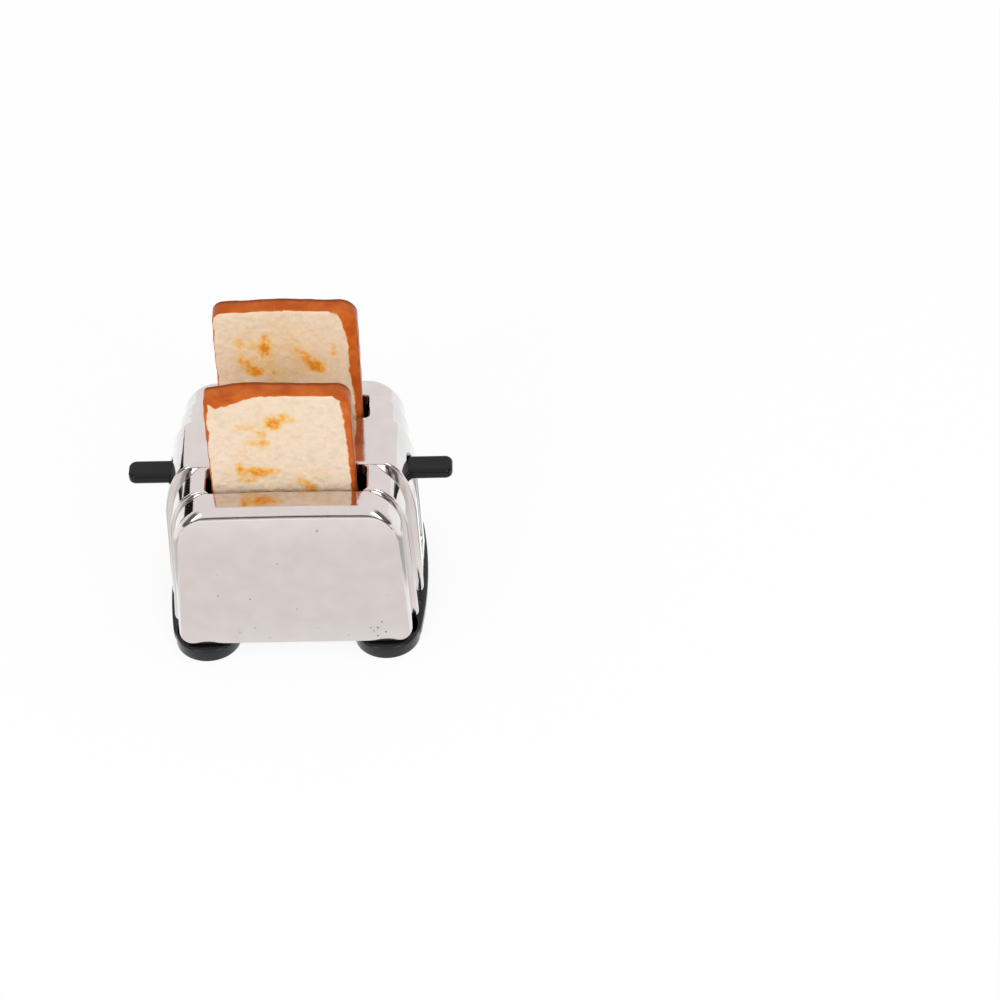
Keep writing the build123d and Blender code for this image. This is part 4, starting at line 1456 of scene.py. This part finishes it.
@dataclass(frozen=True)
class Slice:
    """One slice of toast, standing in its trough.

    top holds the corners of its upper edge from the right to the left: x, drop from the full height and radius.
    inner is the line where the crust's brown ends on the front face, from the left side over the top to the right.
    lean is in degrees; trim is how far the slice stays inside its full size, and cut and wander how far its line
    lies in from there and how far it sways, from the height calm up. lumps and streaks are layers of grain: cell
    size and height. The last two fields say how far from the back face and from the right end the painted shade on
    the crust begins, and over what length it grows.
    """

    name: str
    node: str
    body: Body
    clay: bpy.types.Material
    middle: float
    height: float
    thickness: float
    shift: float
    lean: float
    top: tuple[tuple[float, float, float], ...]
    dabs: tuple[Dab, ...]
    washes: tuple[Dab, ...]
    inner: tuple[tuple[float, float], ...]
    seed: int
    width: float = 11.4
    seat: float = 13.52
    edge: float = 0.28
    foot_corner: float = 0.4
    trim: float = 0.02
    cut: float = 0.03
    wander: float = 0.018
    calm: float = 1.5
    dent: float = 0.05
    lumps: tuple[tuple[float, float], ...] = ((1.1, 0.045), (0.42, 0.035))
    streaks: tuple[tuple[float, float], ...] = ((0.45, 0.07), (0.2, 0.04))
    back_painted_shade: tuple[float, float] = (0.75, 0.5)
    right_painted_shade: tuple[float, float] = (0.3, 0.25)

    def outline(self) -> np.ndarray:
        """Hand-cut outline in X and Z: a rounded polygon whose line wanders by a few soft waves.

        Returns:
            The closed line, which stays straight near its foot.
        """
        half = self.width / 2 - self.trim
        upper = [(x, self.height - self.trim - drop) for x, drop, _ in self.top]
        corners = np.array([(-half, 0.0), (half, 0.0), *upper])
        radii = np.array([self.foot_corner, self.foot_corner, *(radius for *_, radius in self.top)])
        line = evenly(rounded(corners, radii, 12), 480)
        turn = np.linspace(0, 2 * np.pi, len(line), endpoint=False)
        rng = np.random.default_rng(self.seed)
        waves = sum(rng.uniform(0.2, 1) * np.sin(n * turn + rng.uniform(0, 6.3)) for n in (5, 7, 11, 16, 23))
        hold = smooth(line[:, 1] / self.calm)
        return inset(line, ((self.cut + self.wander * waves) * hold)[:, None])

    def grains(self, points: np.ndarray, layers: tuple[tuple[float, float], ...], seed: int) -> np.ndarray:
        """Sum of layers of grain, each drawn from the next seed after the slice's own and the one given."""
        return sum(grain(points, cell, self.seed + seed + n) * height for n, (cell, height) in enumerate(layers))

    def stand(self, local: np.ndarray) -> np.ndarray:
        """Lean a slice back about its foot and set it in its trough: y = y + z tan(lean)."""
        y = local[..., 1] + math.tan(math.radians(self.lean)) * local[..., 2]
        return spread(local[..., 0] + self.shift, y + self.middle, local[..., 2] + self.seat)

    def surface(self) -> np.ndarray:
        """Slice as rows from the middle of its front face, over the rolled edge, to the middle of its back face.

        On a face the outline shrinks towards its centre; on the edge it moves in by r (1 - sin a) while y turns
        through r (1 - cos a). Both faces carry soft lumps, as pressed clay does.

        Returns:
            A closed grid in the slice's own place.
        """
        line = self.outline()
        middle = np.array([0.0, self.height * 0.5])
        half, r = self.thickness / 2, self.edge
        flat = [(mix(middle, inset(line, r), share), -half) for share in np.linspace(0, 1, 56)]
        rolled = [(inset(line, depth), -half + advance) for depth, advance in zip(*roll(r, 8))][1:]
        sides = [(line, mix(-half + r, half - r, share)) for share in (0.25, 0.5, 0.75)]
        back = [(p, -y) for p, y in (flat + rolled)[::-1]]
        grid = np.stack([upright(p, y) for p, y in flat + rolled + sides + back])
        points = grid.reshape(-1, 3)
        lumps = self.grains(points, self.lumps, 0)
        inside = smooth((np.abs(points[:, 1]) - (half - r)) / r)
        points[:, 1] -= np.sign(points[:, 1]) * inside * (self.dent + lumps)
        points[:, 2] = np.maximum(points[:, 2], 0.0)
        return points.reshape(grid.shape)

    def spill(self, x: np.ndarray, z: np.ndarray) -> np.ndarray:
        """Distance outwards from the crust's inner line: the least distance to its pieces, signed by its inside.

        A point is inside when a count of the line's pieces to its right, with the foot closed, is odd.

        Args:
            x: Places along the slice.
            z: Heights above its foot.

        Returns:
            Positive values on the crust, negative ones on the crumb.
        """
        line = np.array([(self.inner[0][0], -1.0), *self.inner, (self.inner[-1][0], -1.0)])
        start, run = line[:-1], np.roll(line, -1, 0)[:-1] - line[:-1]
        offset = np.stack([x, z], axis=1)[:, None] - start
        share = np.clip((offset * run).sum(-1) / (run ** 2).sum(-1), 0, 1)
        gap = np.linalg.norm(offset - share[..., None] * run, axis=-1).min(axis=1)
        crosses = (line[None, :-1, 1] > z[:, None]) != (line[None, 1:, 1] > z[:, None])
        rise = np.where(run[:, 1] == 0, 1.0, run[:, 1])
        right = start[:, 0] + (z[:, None] - start[:, 1]) / rise * run[:, 0] > x[:, None]
        inside = (crosses & right).sum(axis=1) % 2 == 1
        return np.where(inside, -gap, gap)

    def painted(self, x: np.ndarray, z: np.ndarray, dabs: tuple[Dab, ...]) -> np.ndarray:
        """Sum of soft ellipses: strength times exp(-((x-a)/w)^2 - ((z-b)/h)^2)."""
        return sum(d.strength * np.exp(-((x - d.x) / d.wide) ** 2 - ((z - d.z) / d.tall) ** 2) for d in dabs)

    def masks(self, points: np.ndarray) -> dict[str, np.ndarray]:
        """Where the crust is painted, where the crumb is dabbed and where it is washed.

        The crust covers the edge and the front face outside its inner line; the back face has the same line. Painted
        shade darkens it on the back half of the edge, and half as much at the right end.

        Args:
            points: Points of the slice in the row's frame.

        Returns:
            One number for each point under each mask's name.
        """
        local = points - np.array([self.shift, self.middle, self.seat])
        depth = local[:, 1] - math.tan(math.radians(self.lean)) * local[:, 2]
        x, z = local[:, 0], local[:, 2]
        half = self.thickness / 2
        wobble = self.grains(points, self.streaks, 5)
        on_edge = smooth((half - 0.1 - np.abs(depth)) / 0.1)
        # Painted shade on the crust: darker brown on the back half of the edge, which faces away from the lamps, and
        # half as much at the right end.
        behind = smooth((depth + wobble - half + self.back_painted_shade[0]) / self.back_painted_shade[1]) * on_edge
        right = 0.5 * smooth((x + wobble - self.width / 2 + self.right_painted_shade[0]) / self.right_painted_shade[1])
        outside = smooth(0.5 + (self.spill(x, z) + wobble) / 0.2)
        return {
            "crust": np.maximum(outside, on_edge) + np.maximum(behind, right),
            "toasting": np.clip(self.painted(x, z, self.dabs), 0, 1.1),
            "wash": np.clip(self.painted(x, z, self.washes), 0, 1),
        }

    def build(self) -> None:
        """Make the slice and store its masks."""
        skin = Skin(self.name, (self.clay,))
        skin.sheet(self.stand(self.surface()), ring=True)
        made = skin.piece(sharp=75)
        for name, values in self.masks(coordinates(made)).items():
            note(made, name, values)
        place(made, self.body, "clay_toast", self.node)


# ---------------------------------------------------------------- studio
def aim(made: bpy.types.Object, axes: np.ndarray, at: np.ndarray) -> None:
    """Put a camera or a lamp in its place and turn it.

    Args:
        made: The object.
        axes: Its own X, Y and Z as columns; it looks along -Z.
        at: Its place, in metres.
    """
    matrix = np.eye(4)
    matrix[:3, :3], matrix[:3, 3] = axes, at
    made.matrix_world = Matrix(matrix.tolist())
    bpy.context.scene.collection.objects.link(made)


@dataclass(frozen=True)
class Lamp:
    """A soft panel that faces the toaster: its place and size in metres, its power in watts, and if mirrors see it."""

    name: str
    at: tuple[float, float, float]
    size: tuple[float, float]
    power: float
    mirrored: bool = True

    def build(self) -> None:
        """Make the panel: its back points away from the toaster and its longer side lies level."""
        data = bpy.data.lights.new(self.name, "AREA")
        data.shape = "RECTANGLE"
        data.size, data.size_y = self.size
        data.energy = self.power
        made = bpy.data.objects.new(self.name, data)
        made.visible_glossy = self.mirrored
        back = np.array(self.at) / np.linalg.norm(self.at)
        side = np.cross([0, 1, 0], back)
        side /= np.linalg.norm(side)
        aim(made, np.stack([side, np.cross(back, side), back], axis=1), self.at)


@dataclass(frozen=True)
class Studio:
    """Pale table, soft panels and a long lens that looks down on the toaster.

    The camera's angles are in degrees, its offset, distance and the height it looks at in millimetres; focal_px is
    its focal length in pixels of a square picture. The dark patches are painted shade on the table, for mirrors only:
    where each lies across the table, which stretch it shares, and how dark it is.
    """

    focal_px: float = 3930.21
    elevation: float = 44.598
    yaw: float = -1.6575
    roll: float = -2.203
    offset: tuple[float, float] = (16.4845, 1.3863)
    distance: float = 315.92
    target_z: float = 7.0
    picture: int = 1000
    sensor: float = 36.0
    table_half: float = 150.0
    card_x: float = -40.0
    card_along: tuple[float, ...] = (10.0, 22.0, 28.0, 30.0, 32.0, 35.0)
    card_top: tuple[float, ...] = (28.0, 28.0, 27.5, 24.0, 19.0, 15.5)
    card_low: tuple[float, ...] = (5.0, 5.0, 6.0, 9.0, 12.5, 15.0)
    shade_patches: tuple[tuple[tuple[float, ...], str, float], ...] = (
        ((12, 16, 26, 36), "beside", 0.5), ((-36, -26, -16, -12), "beside", 0.35),
        ((18, 26, 60, 75), "before", 0.85), ((-75, -60, -26, -18), "before", 0.5))
    lamps: tuple[Lamp, ...] = (
        Lamp("left_panel", (-0.33, -0.48, 0.28), (0.3, 0.2), 0.6),
        Lamp("right_panel", (0.33, -0.48, 0.28), (0.3, 0.2), 0.6),
        Lamp("upper_panel", (0.0, -0.38, 0.52), (0.4, 0.15), 0.5, mirrored=False),
    )

    def camera(self) -> None:
        """Place the camera.

        Its look direction comes from yaw and elevation, right and up are turned by the roll, and it stands back
        from a point beside the toaster by the distance.
        """
        e, y, r = (math.radians(v) for v in (self.elevation, self.yaw, self.roll))
        look = np.array([math.sin(y) * math.cos(e), math.cos(y) * math.cos(e), -math.sin(e)])
        right = np.array([math.cos(y), -math.sin(y), 0.0])
        up = np.cross(right, look)
        target = np.array([0, 0, self.target_z]) + self.offset[0] * right + self.offset[1] * up
        data = bpy.data.cameras.new("camera")
        data.sensor_width = self.sensor
        data.lens = self.focal_px / self.picture * self.sensor
        data.clip_start, data.clip_end = 0.01, 20.0
        made = bpy.data.objects.new("camera", data)
        axes = (right * math.cos(r) + up * math.sin(r), -right * math.sin(r) + up * math.cos(r), -look)
        aim(made, np.stack(axes, axis=1), (target - look * self.distance) * MM)
        bpy.context.scene.camera = made

    def table_tone(self, tree: bpy.types.NodeTree) -> bpy.types.NodeSocket:
        """Colour of the table as polished metal sees it.

        It is brightest a short way in front of the toaster, a painted pool of light, and duller towards its front edge,
        cool and brighter than white beside and behind the toaster, and darker in two patches of painted shade on each
        side: one beside it, which draws the lines along the steps, and one further in front, which darkens the face's
        upper corners. Only reflections see these colours.

        Args:
            tree: Where to add the nodes.

        Returns:
            The socket with the colour.
        """
        where = add(tree, "ShaderNodeTexCoord").outputs["Object"]
        across, depth = add(tree, "ShaderNodeSeparateXYZ", {0: where}).outputs[:2]
        forward = add(tree, "ShaderNodeMapRange", {"Value": depth, "From Max": -self.table_half * MM})
        ramp = add(tree, "ShaderNodeValToRGB", {0: forward})
        stops = ramp.color_ramp.elements
        stops[0].position, stops[0].color = 0.13, linear("#f9f9f9")
        stops[1].position, stops[1].color = 0.75, linear("#909090")
        # Painted light: past white a short way in front of the toaster, for mirrors only.
        for position, bright in ((0.2, 1.28), (0.3, 1.2)):
            stops.new(position).color = (bright, bright, bright, 1.0)
        tone = add(tree, "ShaderNodeMix", {
            0: zone(tree, (depth, -12, -4, 400, 500), unit=MM), 6: ramp,
            7: (1.1, 1.18, 1.19, 1.0)}, data_type="RGBA").outputs[2]
        side = add(tree, "ShaderNodeMath", {0: across}, operation="ABSOLUTE")
        slanted = add(tree, "ShaderNodeMath", {0: side, 1: 1.2, 2: depth}, operation="MULTIPLY_ADD")
        stretches = {"beside": (slanted, 14, 18, 26, 34), "before": (depth, -95, -80, -34, -24)}
        # Each dark patch is painted shade on the table, for mirrors only.
        for marks, stretch, dark in self.shade_patches:
            patch = zone(tree, (across, *marks), stretches[stretch], unit=MM)
            share = add(tree, "ShaderNodeMath", {0: patch, 1: dark}, operation="MULTIPLY")
            tone = add(tree, "ShaderNodeMix", {
                0: share, 6: tone, 7: linear("#2c2424")}, data_type="RGBA").outputs[2]
        return tone

    def table(self) -> None:
        """Pale matt table that the camera sees mostly as white, with the toaster's soft shadow left on it."""
        material = bpy.data.materials.new("pale_table")
        tree = bare_tree(material)
        rays = add(tree, "ShaderNodeLightPath").outputs
        matt = add(tree, "ShaderNodeBsdfDiffuse", {"Color": linear("#f2f0f0")})
        white = add(tree, "ShaderNodeEmission", {"Color": linear("#ffffff"), "Strength": 1.03})
        mirrored = add(tree, "ShaderNodeEmission", {"Color": self.table_tone(tree), "Strength": 1.0})
        share = add(tree, "ShaderNodeMapRange", {"Value": rays["Is Camera Ray"], "To Max": 0.85})
        seen = add(tree, "ShaderNodeMixShader", {0: share, 1: matt, 2: white})
        both = add(tree, "ShaderNodeMixShader", {0: rays["Is Glossy Ray"], 1: seen, 2: mirrored})
        add(tree, "ShaderNodeOutputMaterial", {"Surface": both})
        skin = Skin("table", (material,))
        edge = self.table_half
        skin.sheet(np.array([[[-edge, -edge, 0], [edge, -edge, 0]], [[-edge, edge, 0], [edge, edge, 0]]]))
        skin.piece()

    def card(self) -> None:
        """Low dark card on the left that only mirrors see: it draws the dark streak along the left shoulders."""
        material = bpy.data.materials.new("black_card")
        tree = bare_tree(material)
        dark = add(tree, "ShaderNodeEmission", {"Color": linear("#1c171c"), "Strength": 1.0})
        add(tree, "ShaderNodeOutputMaterial", {"Surface": dark})
        skin = Skin("black_card", (material,))
        skin.band(*(spread(self.card_x, self.card_along, line) for line in (self.card_low, self.card_top)))
        made = skin.piece()
        made.visible_camera = made.visible_diffuse = made.visible_shadow = made.visible_transmission = False

    def surroundings(self) -> None:
        """What surrounds the toaster: white above and behind, dark beside the two panels and along the horizon.

        The place in the sky is read from the direction: its height is z, its bearing atan2(x, -y), zero at the
        front. The dark parts lie in front only, so that the roof mirrors plain white.
        """
        world = bpy.data.worlds.new("white_studio")
        tree = bare_tree(world)
        axes = add(tree, "ShaderNodeSeparateXYZ", {0: add(tree, "ShaderNodeTexCoord").outputs["Generated"]}).outputs
        back = add(tree, "ShaderNodeMath", {0: axes[1], 1: -1.0}, operation="MULTIPLY")
        bearing = add(tree, "ShaderNodeMath", {0: axes[0], 1: back}, operation="ARCTAN2")
        side = add(tree, "ShaderNodeMath", {0: bearing}, operation="ABSOLUTE")
        horizon = zone(tree, (axes[2], -0.1, -0.03, 0.1, 0.2), (side, -2.0, -1.0, 1.45, 1.75))
        beside = zone(tree, (side, 0.78, 0.92, 1.4, 1.7), (axes[2], -0.05, 0.05, 0.6, 0.8))
        shares = [add(tree, "ShaderNodeMath", {0: part, 1: dark}, operation="MULTIPLY")
                  for part, dark in ((horizon, 0.9), (beside, 0.85))]
        darkest = add(tree, "ShaderNodeMath", {0: shares[0], 1: shares[1]}, operation="MAXIMUM")
        tone = add(tree, "ShaderNodeMapRange", {"Value": darkest, "To Min": 1.0, "To Max": 0.0})
        rays = add(tree, "ShaderNodeLightPath").outputs
        seen = add(tree, "ShaderNodeMapRange", {"Value": rays["Is Camera Ray"], "To Min": 0.72, "To Max": 1.0})
        shown = add(tree, "ShaderNodeMix", {0: rays["Is Glossy Ray"], 2: seen, 3: tone})
        sky = add(tree, "ShaderNodeBackground", {"Color": linear("#ffffff"), "Strength": shown})
        add(tree, "ShaderNodeOutputWorld", {"Surface": sky})
        bpy.context.scene.world = world

    def build(self) -> None:
        """Set up the table, the light and the view."""
        bpy.context.scene.view_settings.view_transform = "Standard"
        self.camera()
        self.table()
        self.card()
        self.surroundings()
        for lamp in self.lamps:
            lamp.build()


# ---------------------------------------------------------------- the toaster
# Casting pits in the front face: x, height and radius.
PITS = (
    (2.4, 13.99, 0.17), (-0.96, 10.42, 0.1), (-5.86, 6.92, 0.1), (-3.35, 6.52, 0.12), (0.29, 5.28, 0.1),
    (-4.42, 2.75, 0.1), (-3.19, 3.18, 0.1), (-2.08, 2.0, 0.08), (6.61, 2.94, 0.12), (6.96, 3.63, 0.1),
    (6.05, 2.95, 0.08), (6.27, 2.59, 0.08), (7.22, 2.46, 0.1), (6.56, 2.02, 0.1), (4.25, 2.18, 0.08),
)

# Dabs and washes: x and height of the middle above the slice's foot, half width, half height and strength.
FRONT_DABS = (
    (-0.31, 9.2, 0.55, 0.62, 0.95), (0.3, 9.97, 0.5, 0.5, 0.55), (0.95, 9.75, 0.47, 0.51, 0.4),
    (-0.75, 9.6, 0.47, 0.51, 0.5), (-2.49, 8.88, 1.01, 0.41, 0.5), (-1.38, 8.22, 0.54, 0.43, 0.6),
    (-2.06, 7.28, 1.08, 0.36, 0.5), (-1.2, 7.15, 0.34, 0.51, 0.6), (-2.97, 6.44, 0.54, 0.43, 0.3),
    (-3.27, 4.51, 0.41, 0.87, 0.65), (-2.2, 4.27, 0.74, 0.51, 0.6), (-1.12, 4.24, 1.08, 0.43, 0.75),
    (-1.91, 4.05, 0.54, 0.43, 0.55), (-2.66, 3.3, 1.01, 0.36, 0.55), (-1.0, 2.2, 0.81, 0.43, 0.4),
    (1.33, 3.53, 0.41, 0.58, 0.45), (1.75, 2.86, 0.47, 0.51, 0.5), (2.19, 2.42, 0.47, 0.43, 0.7),
    (2.3, 1.7, 0.54, 0.43, 0.75), (2.58, 4.9, 0.34, 0.58, 0.3), (1.14, 7.93, 0.41, 0.58, 0.25),
    (3.51, 7.56, 0.27, 0.43, 0.28), (3.0, 3.9, 0.68, 0.43, 0.3),
)
FRONT_WASHES = ((-1.6, 9.2, 2.2, 1.2, 0.35), (-2.2, 4.2, 2.0, 1.2, 0.4), (1.6, 3.0, 1.8, 1.0, 0.35),
                (-1.6, 6.9, 1.6, 0.8, 0.25))
# Inner lines of the crust: x and height above the slice's foot.
FRONT_INNER = (
    (-5.52, 0.0), (-5.52, 3.0), (-5.6, 6.6), (-5.56, 7.2), (-5.36, 8.4), (-5.5, 9.4), (-5.36, 10.6), (-5.23, 11.4),
    (-4.98, 11.2), (-4.72, 10.95), (-4.41, 11.12), (-3.42, 11.5), (-1.82, 12.1), (0.88, 12.16), (2.03, 12.18),
    (4.34, 12.06), (4.85, 11.6), (5.0, 10.23), (5.1, 9.01), (5.14, 7.79), (5.22, 6.56), (5.24, 5.34), (5.28, 3.69),
    (5.3, 0.0),
)
BACK_DABS = (
    (-1.6, 10.14, 0.41, 0.8, 1.0), (-1.74, 9.24, 0.43, 0.72, 0.95), (-3.72, 10.09, 0.47, 0.58, 0.6),
    (-2.64, 9.86, 0.41, 0.58, 0.45), (-3.59, 8.48, 0.41, 0.72, 0.5), (-3.23, 8.06, 0.47, 0.43, 0.65),
    (-2.81, 7.24, 0.61, 0.46, 1.0), (-2.34, 7.23, 0.54, 0.43, 0.9), (-1.16, 7.1, 0.3, 0.43, 0.6),
    (0.86, 9.27, 0.68, 0.36, 0.5), (1.3, 8.75, 0.54, 0.43, 0.65), (1.66, 8.24, 0.54, 0.43, 0.7),
    (2.1, 7.72, 0.61, 0.51, 0.85), (2.41, 7.51, 0.61, 0.51, 1.0), (3.69, 9.5, 0.27, 0.65, 0.4),
    (3.65, 8.81, 0.27, 0.43, 0.35),
)
BACK_WASHES = ((-2.4, 8.4, 2.2, 2.4, 0.75), (1.6, 8.4, 2.0, 2.0, 0.6), (0.0, 6.6, 6.0, 1.6, 0.25),
               (0.0, 9.0, 6.0, 5.0, 0.3))
BACK_INNER = (
    (-5.62, 0.0), (-5.62, 11.0), (-5.52, 12.6), (-5.31, 13.02), (-2.79, 13.45), (-1.18, 13.12), (1.4, 13.25),
    (2.42, 13.42), (4.24, 12.75), (4.65, 11.22), (4.87, 9.71), (4.84, 7.16), (5.01, 5.06), (5.12, 3.49), (5.15, 0.0),
)


def slices(clay: bpy.types.Material) -> tuple[Slice, Slice]:
    """The two slices as they were cut and painted.

    Args:
        clay: Their material.

    Returns:
        The front slice and the back slice.
    """
    front = Slice(
        "toast_slice_front", "toast_front", Body.FRONT_SLICE, clay, middle=-4.0, height=12.35, thickness=1.8,
        shift=-0.16, lean=0.0, top=((5.68, 0.3, 1.1), (-2.6, 0.0, 5.0), (-5.68, 0.5, 0.5)),
        dabs=tuple(Dab(*d) for d in FRONT_DABS), washes=tuple(Dab(*d) for d in FRONT_WASHES),
        inner=FRONT_INNER, seed=11)
    back = Slice(
        "toast_slice_back", "toast_back", Body.BACK_SLICE, clay, middle=3.75, height=13.27, thickness=1.7,
        shift=0.15, lean=3.5, top=((5.68, 0.25, 1.3), (-0.8, 0.0, 5.0), (-5.68, 0.2, 0.9)),
        dabs=tuple(Dab(*d) for d in BACK_DABS), washes=tuple(Dab(*d) for d in BACK_WASHES),
        inner=BACK_INNER, seed=23)
    return front, back


def main() -> None:
    """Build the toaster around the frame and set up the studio."""
    logging.basicConfig(level=logging.INFO, format="%(name)s: %(message)s")
    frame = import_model()
    Studio().build()
    Casting(BrightPlating("bright_plating_on_zinc", pits=PITS), RawZincPaintedShade("raw_zinc_inside_painted_shade")).build()
    Feet(
        GlossBlack("moulded_black_plastic", colour="#0c0c0f", edge_colour="#16161a", roughness=0.22, coat=0.22,
                   shine=0.28),
        DrawnSteel("zinc_coated_screw_steel", colour="#9a9997", roughness=0.35),
        GlossBlack("matt_black_plastic", colour="#0e0e10", edge_colour="#161618", roughness=0.5, coat=0.0),
    ).build(frame)
    Lift(
        GlossBlack("black_enamel_on_steel", roughness=0.12, coat=0.0, shine=0.24),
        DrawnSteel("rolled_bright_steel"),
        DrawnSteel("drawn_spring_wire", colour="#a8a7a7", stretch=(1.0, 1.0, 0.2)),
    ).build(frame)
    for toast in slices(BakedClay("baked_polymer_clay").make()):
        toast.build()


if __name__ == "__main__":
    main()
